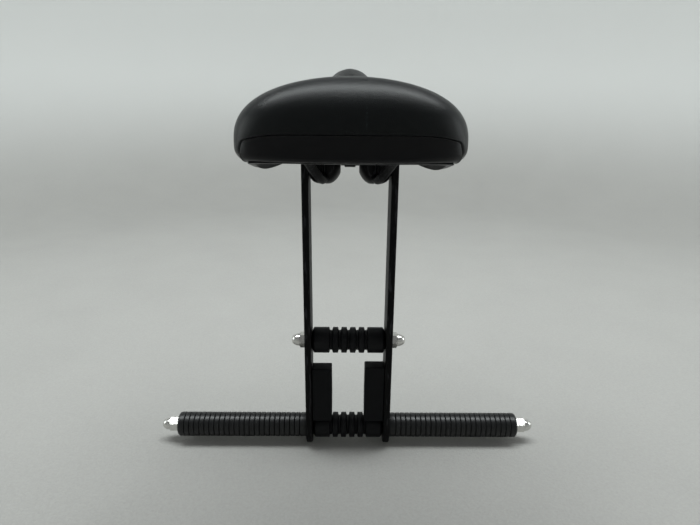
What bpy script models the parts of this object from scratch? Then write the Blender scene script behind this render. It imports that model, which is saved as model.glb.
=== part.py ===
"""Crossbar child seat: a small padded saddle on two upright steel bars.

The bars straddle a bicycle's top tube. Two grooved rubber rollers and two rubber pads
close the window that the tube passes through, and the lowest rod carries a foot peg each side.
Metres, +Z up, +X to the rider's right, +Y towards the saddle's nose. The origin is the
middle of the tube window, halfway between the two roller axes.
"""

import math

import bmesh
import bpy
from mathutils import Vector
from mathutils.bvhtree import BVHTree

MM = 0.001

# Fits between pieces
GAP = 0.3 * MM              # between pieces that touch or seat on each other
PRESS = 0.3 * MM            # radial room round a rod, tube or wire in its hole

# Side bars
BAR_GAP = 70.0 * MM         # clear distance between the two bars
BAR_THICK = 6.0 * MM
BAR_WIDTH = 34.0 * MM       # front to back
BAR_ABOVE_BOLT = 13.0 * MM  # bar end above the clamp screw
BAR_TOP_CORNER = 9.0 * MM
BAR_EDGE = 0.8 * MM

# Heights of the cross axes
ROLLER_SPACING = 95.0 * MM  # peg rod axis to upper roller axis
CLAMP_ABOVE_PEGS = 266.0 * MM

# Rod, tubes and rollers
ROD_RADIUS = 4.0 * MM
ROD_CHAMFER = 1.0 * MM
ROLLER_TUBE_RADIUS = 6.5 * MM
ROLLER_RADIUS = 12.3 * MM
ROLLER_GROOVES = 5
ROLLER_PITCH = 8.3 * MM
ROLLER_GROOVE_WIDTH = 3.4 * MM
ROLLER_GROOVE_DEPTH = 2.8 * MM
ROLLER_GROOVE_FLOOR = 2.0 * MM
ROLLER_END_LENGTH = 2.0 * MM
ROLLER_END_DROP = 3.5 * MM

# Foot pegs
PEG_LENGTH = 130.2 * MM     # rubber grip, from the bar outwards
PEG_RADIUS = 11.8 * MM
PEG_TUBE_RADIUS = 8.5 * MM
PEG_RIB_PITCH = 5.0 * MM
PEG_GROOVE_WIDTH = 1.1 * MM
PEG_GROOVE_DEPTH = 1.1 * MM
PEG_END_BAND = 4.5 * MM     # plain band at the outer end
PEG_END_ROUND = 2.7 * MM

# Cap nuts
NUT_FLATS = 13.0 * MM
NUT_DOME_RADIUS = 5.9 * MM
NUT_WALL = 2.2 * MM         # dome left over the blind thread
NUT_CHAMFER = 0.8 * MM
NUT_DOME_FULLNESS = 0.8     # under 1 makes the dome fuller than an ellipse
NUT_TIP_RADIUS = 1.1 * MM
UPPER_NUT_HEX = 5.2 * MM
UPPER_NUT_DOME = 7.8 * MM
PEG_NUT_HEX = 7.0 * MM
PEG_NUT_DOME = 8.0 * MM

# Rubber spacer pads
PAD_THICK = 19.0 * MM
PAD_DEPTH = 14.0 * MM
PAD_HEIGHT = 59.0 * MM
PAD_BACK = 1.5 * MM         # pad back edge behind the bars' middle
PAD_ABOVE_ROLLER = 2.0 * MM
PAD_EDGE = 1.2 * MM
PAD_LEFT_SHORT = 2.0 * MM   # the left pad is cut this much shorter

# Rail clamp
CUP_RADIUS = 20.5 * MM
CUP_SPLIT = 22.0 * MM       # rails and the joint between the cups, from the middle
CUP_INNER_END = 8.0 * MM
CUP_INNER_END_RADIUS = 10.5 * MM
CUP_OUTER_END_RADIUS = 12.5 * MM
CUP_EDGE_BAND = 3.0 * MM    # straight rim next to the split
CUP_EDGE = 0.8 * MM
SPACER_RADIUS = 6.0 * MM
SPACER_COLLAR_RADIUS = 7.6 * MM
SPACER_COLLAR_WIDTH = 9.4 * MM
SCREW_HEAD_RADIUS = 8.0 * MM
SCREW_TIP = 2.0 * MM        # each screw stops this far from the middle
SCREW_TIP_CHAMFER = 0.8 * MM
SCREW_SOCKET_RADIUS = 2.9 * MM
SCREW_SOCKET_DEPTH = 3.2 * MM

# Saddle rails
RAIL_RADIUS = 3.5 * MM
RAIL_BELOW_BOLT = 13.0 * MM
RAIL_REAR_SPREAD = 32.0 * MM
RAIL_REAR_Y = -95.0 * MM
RAIL_NOSE_SPREAD = 6.4 * MM
RAIL_NOSE_Y = 96.0 * MM
RAIL_FLAT = 24.0 * MM       # half of the straight stretch in the clamp
RAIL_REAR_ABOVE_RIM = 4.0 * MM
RAIL_NOSE_ABOVE_RIM = 25.0 * MM
# Bends between the straight stretch and each socket, as shares of the way (sideways, along, up)
RAIL_REAR_BENDS = ((0.09, 0.20, 0.08), (0.81, 0.67, 0.64))
RAIL_NOSE_BENDS = ((0.11, 0.23, 0.10), (0.86, 0.67, 0.66))

# Saddle outline
SADDLE_REAR_Y = -117.0 * MM
SADDLE_WIDEST_Y = -78.0 * MM
SADDLE_NOSE_ROUND_Y = 98.0 * MM
SADDLE_NOSE_Y = 123.0 * MM
SADDLE_HALF_WIDTH = 81.8 * MM
SADDLE_NOSE_HALF = 23.5 * MM
SADDLE_SQUARENESS = 2.4     # exponent of the rounded section and of the rear outline
SPINE_REAR_Y = -80.0 * MM
SPINE_NOSE_Y = 101.0 * MM

# Saddle heights above the rear rim, which is itself above the clamp screw
RIM_ABOVE_BOLT = 12.4 * MM
SHELL_FLANGE = 1.6 * MM
SHELL_EDGE_INSET = 6.0 * MM # flange edge inside the saddle's outline
SHELL_SKIN = 3.0 * MM
SHELL_SEAT = 3.3 * MM       # shell's upper skin above the rim
SHELL_WALL = 1.2 * MM       # upright wall between the flange and the skin
SHELL_DRAFT = 1.0 * MM
PANEL_INSET = 1.0 * MM
PANEL_THICK = 2.7 * MM
PANEL_FLOOR = 2.2 * MM      # thickness where it turns in at the rim
COVER_LIP = 3.0 * MM        # cover and panel turned in under the shell's edge
LOWER_CORNER = 7.5 * MM     # rounding from the sides into the rim
SEAM_CORNER = 1.2 * MM      # rounding of the cover where it meets the rear panel
BOSS_WIDTH = 14.0 * MM
BOSS_LENGTH = 20.0 * MM
BOSS_WALL = 3.2 * MM
BOSS_PAST_RAIL = 7.0 * MM   # socket block past the rail's end
NOSE_BOSS_WIDTH = 25.0 * MM

# Plan taper from the widest point to the nose round, as (share of the way, share of the taper)
SIDE_TAPER = ((0, 0), (0.17, 0.134), (0.34, 0.46), (0.51, 0.734), (0.68, 0.906), (0.85, 0.974), (1, 1))
# Heights above the rear rim in mm, as (share of the saddle's length from the rear, height)
RIM_STATIONS = ((0, -0.5), (0.08, -3), (0.154, -5.5), (0.263, -10.5), (0.363, -8), (0.45, 4.5),
                (0.654, 16), (0.82, 23), (1, 29))
WIDEST_STATIONS = ((0, 17.5), (0.063, 12), (0.163, 10), (0.3, 9), (0.488, 21), (0.738, 34), (1, 42))
# The same along the spine, for the top of the cushion and for the shell below it
CROWN_STATIONS = ((0, 53.8), (0.22, 50.9), (0.47, 48.9), (0.72, 53.9), (1, 64.9))
PAN_STATIONS = ((0, 16), (0.28, 18), (0.55, 23), (1, 36))
PAN_STEP = 0.55             # the dished skin has one ring this share of the way out from the spine
PANEL_END_Y = -100.0 * MM   # where the seam starts to turn down at each side
PANEL_END_RUN = 12.0 * MM
PANEL_LOWEST = 5.0 * MM     # the panel ends where it is lower than this
PANEL_LAND = 0.5 * MM       # least straight wall above the panel's lower round

# Facets: sides of a full turn, and steps along a curve
BOLT_SIDES = 16
ROLLER_SIDES = 16
PEG_SIDES = 12
CUP_SIDES = 18
NUT_SIDES = 12
BAR_END_STEPS = 14
CORNER_STEPS = 4
REAR_STEPS = 12
SIDE_STEPS = 10
SIDE_STEP_GROWTH = 1.5      # the steps along each side grow towards the nose
NOSE_STEPS = 5
CROWN_STEPS = 7
EDGE_STEPS = 3

PEG_Z = -ROLLER_SPACING / 2
ROLLER_Z = ROLLER_SPACING / 2
CLAMP_Z = PEG_Z + CLAMP_ABOVE_PEGS
RIM_Z = CLAMP_Z + RIM_ABOVE_BOLT
BAR_INNER = BAR_GAP / 2
BAR_OUTER = BAR_INNER + BAR_THICK
BORE = ROD_RADIUS + PRESS


def clear_scene():
    for obj in list(bpy.data.objects):
        bpy.data.objects.remove(obj)


def make_material(name, colour, roughness, metallic=0.0):
    """A plain Principled finish from a linear colour."""
    mat = bpy.data.materials.new(name)
    mat.use_nodes = True
    shader = mat.node_tree.nodes["Principled BSDF"]
    shader.inputs["Base Color"].default_value = (*colour, 1.0)
    shader.inputs["Roughness"].default_value = roughness
    shader.inputs["Metallic"].default_value = metallic
    mat.diffuse_color = (*colour, 1.0)
    return mat


def finish(name, bm, mat, location=(0, 0, 0), sharp=35):
    """Turns a bmesh into an object of its own, closed and facing out."""
    bmesh.ops.remove_doubles(bm, verts=bm.verts, dist=1e-7)
    bmesh.ops.recalc_face_normals(bm, faces=bm.faces)
    mesh = bpy.data.meshes.new(name)
    bm.to_mesh(mesh)
    bm.free()
    mesh.shade_smooth()
    mesh.set_sharp_from_angle(angle=math.radians(sharp))
    if mat:
        mesh.materials.append(mat)
    obj = bpy.data.objects.new(name, mesh)
    obj.location = location
    bpy.context.scene.collection.objects.link(obj)
    return obj


def turned(name, profile, sides, mat, location=(0, 0, 0)):
    """A profile of (x, radius) points turned about X. One that leaves the axis is closed into a loop."""
    bm = bmesh.new()
    verts = [bm.verts.new((x, 0, r)) for x, r in profile]
    edges = [bm.edges.new(pair) for pair in zip(verts, verts[1:])]
    if profile[0][1] > 0:
        edges.append(bm.edges.new((verts[-1], verts[0])))
    bmesh.ops.spin(bm, geom=verts + edges, axis=(1, 0, 0), cent=(0, 0, 0),
                   steps=sides, angle=math.tau, use_merge=True)
    return finish(name, bm, mat, location)


def mirrored(profile, side):
    return [(side * x, r) for x, r in profile]


def bridge(bm, low, high):
    """Four-sided faces between two closed rings of vertices."""
    for i in range(len(low)):
        j = (i + 1) % len(low)
        bm.faces.new((low[i], low[j], high[j], high[i]))


def capped_loft(name, rings, mat):
    """Skin over closed rings of equal length, with a face on the first and on the last."""
    bm = bmesh.new()
    rows = [[bm.verts.new(p) for p in ring] for ring in rings]
    for low, high in zip(rows, rows[1:]):
        bridge(bm, low, high)
    bm.faces.new(rows[0])
    bm.faces.new(rows[-1])
    return finish(name, bm, mat)


def as_cutter(obj):
    obj.hide_render = True
    obj.display_type = "WIRE"
    return obj


def cut(target, cutter, operation="DIFFERENCE"):
    modifier = target.modifiers.new(operation.lower() + "_" + cutter.name, "BOOLEAN")
    modifier.operation = operation
    modifier.solver = "EXACT"
    modifier.object = cutter


def bevel(obj, width, segments=1, angle=40):
    modifier = obj.modifiers.new("edges", "BEVEL")
    modifier.width = width
    modifier.segments = segments
    modifier.limit_method = "ANGLE"
    modifier.angle_limit = math.radians(angle)


def extruded_x(name, outline, x_low, x_high, mat):
    """A (y, z) outline extruded along X."""
    bm = bmesh.new()
    face = bm.faces.new([bm.verts.new((x_low, y, z)) for y, z in outline])
    grown = bmesh.ops.extrude_face_region(bm, geom=[face])
    moved = [item for item in grown["geom"] if isinstance(item, bmesh.types.BMVert)]
    bmesh.ops.translate(bm, verts=moved, vec=(x_high - x_low, 0, 0))
    return finish(name, bm, mat)


def box(name, low, high, mat):
    bm = bmesh.new()
    bmesh.ops.create_cube(bm, size=1.0)
    for vert in bm.verts:
        vert.co = Vector(a + (b - a) * (c + 0.5) for a, b, c in zip(low, high, vert.co))
    return finish(name, bm, mat)


def arc(centre, radius, start, end, steps):
    """Points from start to end degrees, both ends included."""
    angles = [math.radians(start + (end - start) * i / steps) for i in range(steps + 1)]
    return [(centre[0] + radius * math.cos(a), centre[1] + radius * math.sin(a)) for a in angles]


def rod_cutter(name, z):
    """A hole for the threaded rod through both bars."""
    reach = BAR_OUTER + BAR_THICK
    profile = [(-reach, 0), (-reach, BORE), (reach, BORE), (reach, 0)]
    return as_cutter(turned(name, profile, BOLT_SIDES, None, (0, 0, z)))


def countersink_cutter(name, side):
    """The screw hole and its cone in a bar's outer face."""
    head = SCREW_HEAD_RADIUS + PRESS
    cone = head - BORE
    past = BAR_OUTER + BAR_THICK
    profile = [(0, 0), (0, BORE), (BAR_OUTER - cone, BORE), (BAR_OUTER, head), (past, head), (past, 0)]
    return as_cutter(turned(name, mirrored(profile, side), CUP_SIDES, None, (0, 0, CLAMP_Z)))


def bar_outline():
    """Round lower end about the peg rod, upper end with two rounded corners."""
    half = BAR_WIDTH / 2
    top = CLAMP_Z + BAR_ABOVE_BOLT
    corner = BAR_TOP_CORNER
    outline = arc((0, PEG_Z), half, 180, 360, BAR_END_STEPS)
    outline += arc((half - corner, top - corner), corner, 0, 90, CORNER_STEPS)
    outline += arc((corner - half, top - corner), corner, 90, 180, CORNER_STEPS)
    return outline


def side_bars(mat):
    rod_holes = [rod_cutter("peg_rod_hole", PEG_Z), rod_cutter("upper_bolt_hole", ROLLER_Z)]
    for word, side in (("left", -1), ("right", 1)):
        near, far = sorted((side * BAR_INNER, side * BAR_OUTER))
        bar = extruded_x("side_bar_" + word, bar_outline(), near, far, mat)
        bevel(bar, BAR_EDGE)
        for hole in rod_holes + [countersink_cutter("clamp_screw_hole_" + word, side)]:
            cut(bar, hole)


def tube(name, x_low, x_high, radius, mat, z, sides=BOLT_SIDES):
    profile = [(x_low, BORE), (x_high, BORE), (x_high, radius), (x_low, radius)]
    turned(name, profile, sides, mat, (0, 0, z))


def roller_profile():
    """Rubber sleeve with chamfered ends and U grooves round its middle."""
    half = BAR_INNER - GAP
    bore = ROLLER_TUBE_RADIUS + PRESS
    end = ROLLER_RADIUS - ROLLER_END_DROP
    floor = ROLLER_RADIUS - ROLLER_GROOVE_DEPTH
    wide = ROLLER_GROOVE_WIDTH / 2
    narrow = ROLLER_GROOVE_FLOOR / 2
    profile = [(half, bore), (-half, bore), (-half, end), (ROLLER_END_LENGTH - half, ROLLER_RADIUS)]
    for i in range(ROLLER_GROOVES):
        x = (i - (ROLLER_GROOVES - 1) / 2) * ROLLER_PITCH
        profile += [(x - wide, ROLLER_RADIUS), (x - narrow, floor)]
        profile += [(x + narrow, floor), (x + wide, ROLLER_RADIUS)]
    profile += [(half - ROLLER_END_LENGTH, ROLLER_RADIUS), (half, end)]
    return profile


def rollers(rubber, steel):
    half = BAR_INNER - GAP
    for word, z in (("upper", ROLLER_Z), ("lower", PEG_Z)):
        turned(word + "_roller", roller_profile(), ROLLER_SIDES, rubber, (0, 0, z))
        tube(word + "_roller_tube", -half, half, ROLLER_TUBE_RADIUS, steel, z)


def grip_profile(start, end):
    """Rubber foot-peg sleeve: narrow grooves between wide ribs, and a rounded outer end."""
    bore = PEG_TUBE_RADIUS + PRESS
    half = PEG_GROOVE_WIDTH / 2
    shoulder = end - PEG_END_BAND
    grooves = int((shoulder - start) / PEG_RIB_PITCH)
    profile = [(start, bore), (start, PEG_RADIUS)]
    for i in range(grooves):
        x = shoulder - (grooves - i - 0.5) * PEG_RIB_PITCH
        profile += [(x - half, PEG_RADIUS), (x, PEG_RADIUS - PEG_GROOVE_DEPTH), (x + half, PEG_RADIUS)]
    centre = (end - PEG_END_ROUND, PEG_RADIUS - PEG_END_ROUND)
    profile += arc(centre, PEG_END_ROUND, 90, 0, CORNER_STEPS)
    profile.append((end, bore))
    return profile


def foot_pegs(rubber, steel):
    start = BAR_OUTER + GAP
    end = start + PEG_LENGTH
    for word, side in (("left", -1), ("right", 1)):
        profile = mirrored(grip_profile(start, end), side)
        turned("peg_grip_" + word, profile, PEG_SIDES, rubber, (0, 0, PEG_Z))
        low, high = sorted((side * start, side * end))
        tube("peg_tube_" + word, low, high, PEG_TUBE_RADIUS, steel, PEG_Z, PEG_SIDES)


def nut_stations(hex_height, dome_height):
    """(height, reach) up the outside of a cap nut: chamfered hexagon, then the dome."""
    corner = NUT_FLATS / 2 / math.cos(math.pi / 6)
    stations = [(0, corner - NUT_CHAMFER), (NUT_CHAMFER / 2, corner), (hex_height - NUT_CHAMFER, corner),
                (hex_height, corner - 2 * NUT_CHAMFER), (hex_height, NUT_DOME_RADIUS)]
    for i in range(1, CORNER_STEPS + 1):
        angle = math.pi / 2 * i / (CORNER_STEPS + 1)
        stations.append((hex_height + dome_height * math.sin(angle),
                         NUT_DOME_RADIUS * math.cos(angle) ** NUT_DOME_FULLNESS))
    stations.append((hex_height + dome_height, NUT_TIP_RADIUS))
    return stations


def cap_nut(name, seat, side, hex_height, dome_height, z, mat):
    """A hexagon whose flats fade into a dome, with a blind thread hole from its seat."""
    bm = bmesh.new()

    def ring(x, reach):
        row = []
        for i in range(NUT_SIDES):
            angle = math.tau * i / NUT_SIDES
            off_flat = (angle + math.pi / 6) % (math.pi / 3) - math.pi / 6
            radius = min(reach, NUT_FLATS / 2 / math.cos(off_flat))
            place = (side * (seat + x), radius * math.sin(angle), radius * math.cos(angle))
            row.append(bm.verts.new(place))
        return row

    rows = [ring(x, reach) for x, reach in nut_stations(hex_height, dome_height)]
    bore = [ring(0, BORE), ring(hex_height + dome_height - NUT_WALL, BORE)]
    for low, high in list(zip(rows, rows[1:])) + [(bore[0], rows[0]), (bore[1], bore[0])]:
        bridge(bm, low, high)
    bm.faces.new(rows[-1])
    bm.faces.new(bore[1])
    return finish(name, bm, mat, (0, 0, z), sharp=28)


def rod(name, half_length, z, mat):
    """A threaded rod seen as its outer cylinder, with chamfered ends."""
    small = ROD_RADIUS - ROD_CHAMFER
    profile = [(-half_length, 0), (-half_length, small), (ROD_CHAMFER - half_length, ROD_RADIUS),
               (half_length - ROD_CHAMFER, ROD_RADIUS), (half_length, small), (half_length, 0)]
    turned(name, profile, BOLT_SIDES, mat, (0, 0, z))


def rods_and_nuts(steel, chrome):
    upper_seat = BAR_OUTER + GAP
    peg_seat = BAR_OUTER + GAP + PEG_LENGTH + GAP
    rows = (
        ("upper_bolt", "upper_cap_nut_", upper_seat, UPPER_NUT_HEX, UPPER_NUT_DOME, ROLLER_Z),
        ("peg_rod", "peg_cap_nut_", peg_seat, PEG_NUT_HEX, PEG_NUT_DOME, PEG_Z),
    )
    for rod_name, nut_name, seat, hex_height, dome_height, z in rows:
        rod(rod_name, seat + hex_height + dome_height - NUT_WALL - GAP, z, steel)
        for word, side in (("left", -1), ("right", 1)):
            cap_nut(nut_name + word, seat, side, hex_height, dome_height, z, chrome)


def spacer_pads(rubber):
    """Rubber blocks on the bars' inner faces, which centre the bicycle's tube."""
    z_low = PEG_Z + ROLLER_RADIUS + PAD_ABOVE_ROLLER
    for word, side, short in (("left", -1, PAD_LEFT_SHORT), ("right", 1, 0)):
        seat = BAR_INNER - GAP
        x_low, x_high = sorted((side * seat, side * (seat - PAD_THICK)))
        low = (x_low, -PAD_BACK - PAD_DEPTH, z_low)
        high = (x_high, -PAD_BACK, z_low + PAD_HEIGHT - short)
        pad = box("spacer_pad_" + word, low, high, rubber)
        bevel(pad, PAD_EDGE, 2)


def smooth(stations, share):
    """Value at a share from 0 to 1, on a smooth curve through (share, value) stations."""
    if share <= stations[0][0]:
        return stations[0][1]
    if share >= stations[-1][0]:
        return stations[-1][1]
    slopes = [0.0]
    for before, after in zip(stations, stations[2:]):
        slopes.append((after[1] - before[1]) / (after[0] - before[0]))
    slopes.append(0.0)
    k = next(i for i, station in enumerate(stations[1:]) if share <= station[0])
    (left, low), (right, high) = stations[k], stations[k + 1]
    run = right - left
    t = (share - left) / run
    return ((2 * t ** 3 - 3 * t ** 2 + 1) * low + (t ** 3 - 2 * t ** 2 + t) * run * slopes[k]
            + (3 * t ** 2 - 2 * t ** 3) * high + (t ** 3 - t ** 2) * run * slopes[k + 1])


def quarter(steps):
    """Sine and cosine of each step of a quarter turn, the last step left out, squared off."""
    power = 2 / SADDLE_SQUARENESS
    angles = [math.pi / 2 * i / steps for i in range(steps)]
    return [(math.sin(a) ** power, math.cos(a) ** power) for a in angles]


def saddle_outline():
    """Plan points of the saddle, right side from the rear middle to the nose, then back on the left."""
    right = []
    for across, back in quarter(REAR_STEPS):
        reach = SADDLE_WIDEST_Y - SADDLE_REAR_Y
        right.append((SADDLE_HALF_WIDTH * across, SADDLE_WIDEST_Y - reach * back))
    for i in range(SIDE_STEPS):
        share = (i / SIDE_STEPS) ** SIDE_STEP_GROWTH
        half = SADDLE_HALF_WIDTH + (SADDLE_NOSE_HALF - SADDLE_HALF_WIDTH) * smooth(SIDE_TAPER, share)
        right.append((half, SADDLE_WIDEST_Y + (SADDLE_NOSE_ROUND_Y - SADDLE_WIDEST_Y) * share))
    for ahead, across in quarter(NOSE_STEPS):
        reach = SADDLE_NOSE_Y - SADDLE_NOSE_ROUND_Y
        right.append((SADDLE_NOSE_HALF * across, SADDLE_NOSE_ROUND_Y + reach * ahead))
    right.append((0.0, SADDLE_NOSE_Y))
    left = [(-x, y) for x, y in reversed(right[1:-1])]
    return right + left


def inset_point(outline, i, distance):
    """Point i of the outline moved inwards along its own normal."""
    before = outline[i - 1]
    after = outline[(i + 1) % len(outline)]
    along = Vector((after[0] - before[0], after[1] - before[1])).normalized()
    return outline[i][0] - along.y * distance, outline[i][1] + along.x * distance


def inset(outline, distance):
    return [inset_point(outline, i, distance) for i in range(len(outline))]


def along(y):
    """Share of the saddle's length from its rear."""
    return (y - SADDLE_REAR_Y) / (SADDLE_NOSE_Y - SADDLE_REAR_Y)


def spine_y(y):
    return SPINE_REAR_Y + (SPINE_NOSE_Y - SPINE_REAR_Y) * along(y)


def rim_height(y):
    return RIM_Z + MM * smooth(RIM_STATIONS, along(y))


def widest_height(y):
    return RIM_Z + MM * smooth(WIDEST_STATIONS, along(y))


def seam_drop(y):
    """0 where the cover ends on the rear panel, 1 where it reaches the rim."""
    t = min(max((y - PANEL_END_Y) / PANEL_END_RUN, 0.0), 1.0)
    return t * t * (3 - 2 * t)


def seam_height(y):
    """Lower edge of the cover: on the rear panel's top, then down to the rim ahead of it."""
    drop = seam_drop(y)
    return widest_height(y) * (1 - drop) + rim_height(y) * drop


def edge_ring(outline, distance, height):
    return [(x, y, height(source[1])) for (x, y), source in zip(inset(outline, distance), outline)]


def pan_rings(outline, distance, lift):
    """The dished inner surface from its edge to the spine."""
    rings = [edge_ring(outline, distance, lambda y: rim_height(y) + lift)]
    for share in (PAN_STEP, 0.0):
        ring = []
        for (x, y, z), (_, source_y) in zip(rings[0], outline):
            middle = spine_y(source_y)
            top = RIM_Z + MM * smooth(PAN_STATIONS, along(source_y)) + lift
            ring.append((x * share, middle + (y - middle) * share, top + (z - top) * share ** 2))
        rings.append(ring)
    return rings


def crown_rings(outline):
    """From the spine out to the widest line, on a rounded section."""
    rings = []
    for across, up in quarter(CROWN_STEPS) + [(1.0, 0.0)]:
        ring = []
        for x, y in outline:
            middle = spine_y(y)
            low = widest_height(y)
            top = RIM_Z + MM * smooth(CROWN_STATIONS, along(y))
            ring.append((x * across, middle + (y - middle) * across, low + (top - low) * up))
        rings.append(ring)
    return rings


def turned_in(outline, radius_at, height_at):
    """Rings of a quarter round from a side wall in to its lower edge."""
    rings = []
    for i in range(EDGE_STEPS + 1):
        angle = math.pi / 2 * i / EDGE_STEPS
        ring = []
        for k, (_, y) in enumerate(outline):
            radius = radius_at(y)
            x_in, y_in = inset_point(outline, k, radius * (1 - math.cos(angle)))
            ring.append((x_in, y_in, height_at(y) + radius * (1 - math.sin(angle))))
        rings.append(ring)
    return rings


def cover_corner(y):
    return SEAM_CORNER + (LOWER_CORNER - SEAM_CORNER) * seam_drop(y)


def saddle_cover(outline, mat):
    """Padding and cover as one closed cushion, hollowed below for the shell and the rear panel."""
    lip = LOWER_CORNER + COVER_LIP
    rings = crown_rings(outline)
    rings += turned_in(outline, cover_corner, seam_height)
    rings.append(edge_ring(outline, lip, seam_height))
    rings += pan_rings(outline, lip, SHELL_SEAT + GAP)
    lofted_to_spine("saddle_cover", rings, mat)


def lofted_to_spine(name, rings, mat):
    """A skin from one spine line to the other; mirrored points meet there and are merged.

    Each four-sided face is split from its outer front corner to its inner rear one, or the
    other way at the nose tip, so that two skins over the same rings nest without touching.
    """
    bm = bmesh.new()
    rows = [[bm.verts.new(p) for p in ring] for ring in rings]
    count = len(rings[0])
    for low, high in zip(rows, rows[1:]):
        for i in range(count):
            j = (i + 1) % count
            outer, inner = (low[i], low[j]), (high[i], high[j])
            if abs(outer[0].co.x + outer[1].co.x) < abs(inner[0].co.x + inner[1].co.x):
                outer, inner = inner, outer
            if outer[0].co.y > outer[1].co.y:
                outer, inner = outer[::-1], inner[::-1]
            turn = inner[1] if abs(outer[1].co.x) < 1e-9 else inner[0]
            bm.faces.new((outer[0], outer[1], turn))
            bm.faces.new((outer[1] if turn is inner[0] else outer[0], inner[1], inner[0]))
    bmesh.ops.remove_doubles(bm, verts=bm.verts, dist=1e-6)
    return finish(name, bm, mat, sharp=50)


def panel_section(outline, i):
    """Section of the rear panel at outline point i: a wall that turns in at the rim."""
    y = outline[i][1]
    low = rim_height(y)
    high = seam_height(y) - GAP
    corner = min(LOWER_CORNER, high - low - PANEL_LAND)
    small = max(corner - PANEL_THICK, PANEL_LAND)
    outer, inner = [], []
    for step in range(EDGE_STEPS + 1):
        angle = math.pi / 2 * step / EDGE_STEPS
        across, up = 1 - math.sin(angle), 1 - math.cos(angle)
        outer.append((*inset_point(outline, i, PANEL_INSET + corner * across), low + corner * up))
        inner.append((*inset_point(outline, i, PANEL_INSET + PANEL_THICK + small * across),
                      low + PANEL_FLOOR + small * up))
    top_out = (*inset_point(outline, i, PANEL_INSET), high)
    top_in = (*inset_point(outline, i, PANEL_INSET + PANEL_THICK), high)
    return outer + [top_out, top_in] + inner[::-1]


def rear_panel(outline, mat):
    """Band of the lower rear between the rim and the seam, its ends running out at the sides."""
    count = len(outline)
    tall = [seam_height(y) - rim_height(y) > PANEL_LOWEST for _, y in outline]
    half = max(i for i in range(count // 2) if tall[i])
    sections = [panel_section(outline, i % count) for i in range(-half, half + 1)]
    capped_loft("saddle_rear_panel", sections, mat)


def socket_boss(name, shell, x_span, y_span, z_low):
    """A block under the shell whose upper corners end in the middle of the shell's skin."""
    graph = bpy.context.evaluated_depsgraph_get()
    tree = BVHTree.FromObject(shell, graph)
    (x_low, x_high), (y_low, y_high) = x_span, y_span
    corners = ((x_low, y_low), (x_high, y_low), (x_high, y_high), (x_low, y_high))
    tops = []
    for x, y in corners:
        below = tree.ray_cast(Vector((x, y, RIM_Z - 1)), Vector((0, 0, 1)))[0]
        above = tree.ray_cast(Vector((x, y, RIM_Z + 1)), Vector((0, 0, -1)))[0]
        tops.append((below.z + above.z) / 2)
    bm = bmesh.new()
    low = [bm.verts.new((x, y, z_low)) for x, y in corners]
    high = [bm.verts.new((x, y, z)) for (x, y), z in zip(corners, tops)]
    bm.faces.new(low)
    bm.faces.new(high)
    bridge(bm, low, high)
    cut(shell, as_cutter(finish(name, bm, None)), "UNION")


def rail_route(side):
    """Points of one rail from its rear socket through the clamp to the nose socket."""
    low = CLAMP_Z - RAIL_BELOW_BOLT
    rear = (RAIL_REAR_SPREAD, RAIL_REAR_Y, RIM_Z + RAIL_REAR_ABOVE_RIM)
    nose = (RAIL_NOSE_SPREAD, RAIL_NOSE_Y, RIM_Z + RAIL_NOSE_ABOVE_RIM)
    runs = []
    halves = ((rear, -RAIL_FLAT, RAIL_REAR_BENDS), (nose, RAIL_FLAT, RAIL_NOSE_BENDS))
    for socket, flat_end, bends in halves:
        start = (CUP_SPLIT, flat_end, low)
        run = [[a + (b - a) * share for a, b, share in zip(start, socket, bend)] for bend in bends]
        runs.append([start, *run, socket])
    return [Vector((side * x, y, z)) for x, y, z in runs[0][::-1] + runs[1]]


def wire(name, points, radius, mat):
    """A round wire on one smooth curve, with closed ends."""
    curve = bpy.data.curves.new(name, "CURVE")
    curve.dimensions = "3D"
    curve.bevel_depth = radius
    curve.bevel_resolution = 2
    curve.resolution_u = 4
    curve.use_fill_caps = True
    spline = curve.splines.new("BEZIER")
    spline.bezier_points.add(len(points) - 1)
    for point, place in zip(spline.bezier_points, points):
        point.co = place
        point.handle_left_type = "AUTO"
        point.handle_right_type = "AUTO"
    if mat:
        curve.materials.append(mat)
    obj = bpy.data.objects.new(name, curve)
    bpy.context.scene.collection.objects.link(obj)
    return obj


def wire_mesh(name, points, radius):
    """The same wire as a mesh cutter."""
    source = wire(name + "_curve", points, radius, None)
    graph = bpy.context.evaluated_depsgraph_get()
    mesh = bpy.data.meshes.new_from_object(source.evaluated_get(graph))
    bpy.data.objects.remove(source)
    bm = bmesh.new()
    bm.from_mesh(mesh)
    return as_cutter(finish(name, bm, None))


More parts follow.
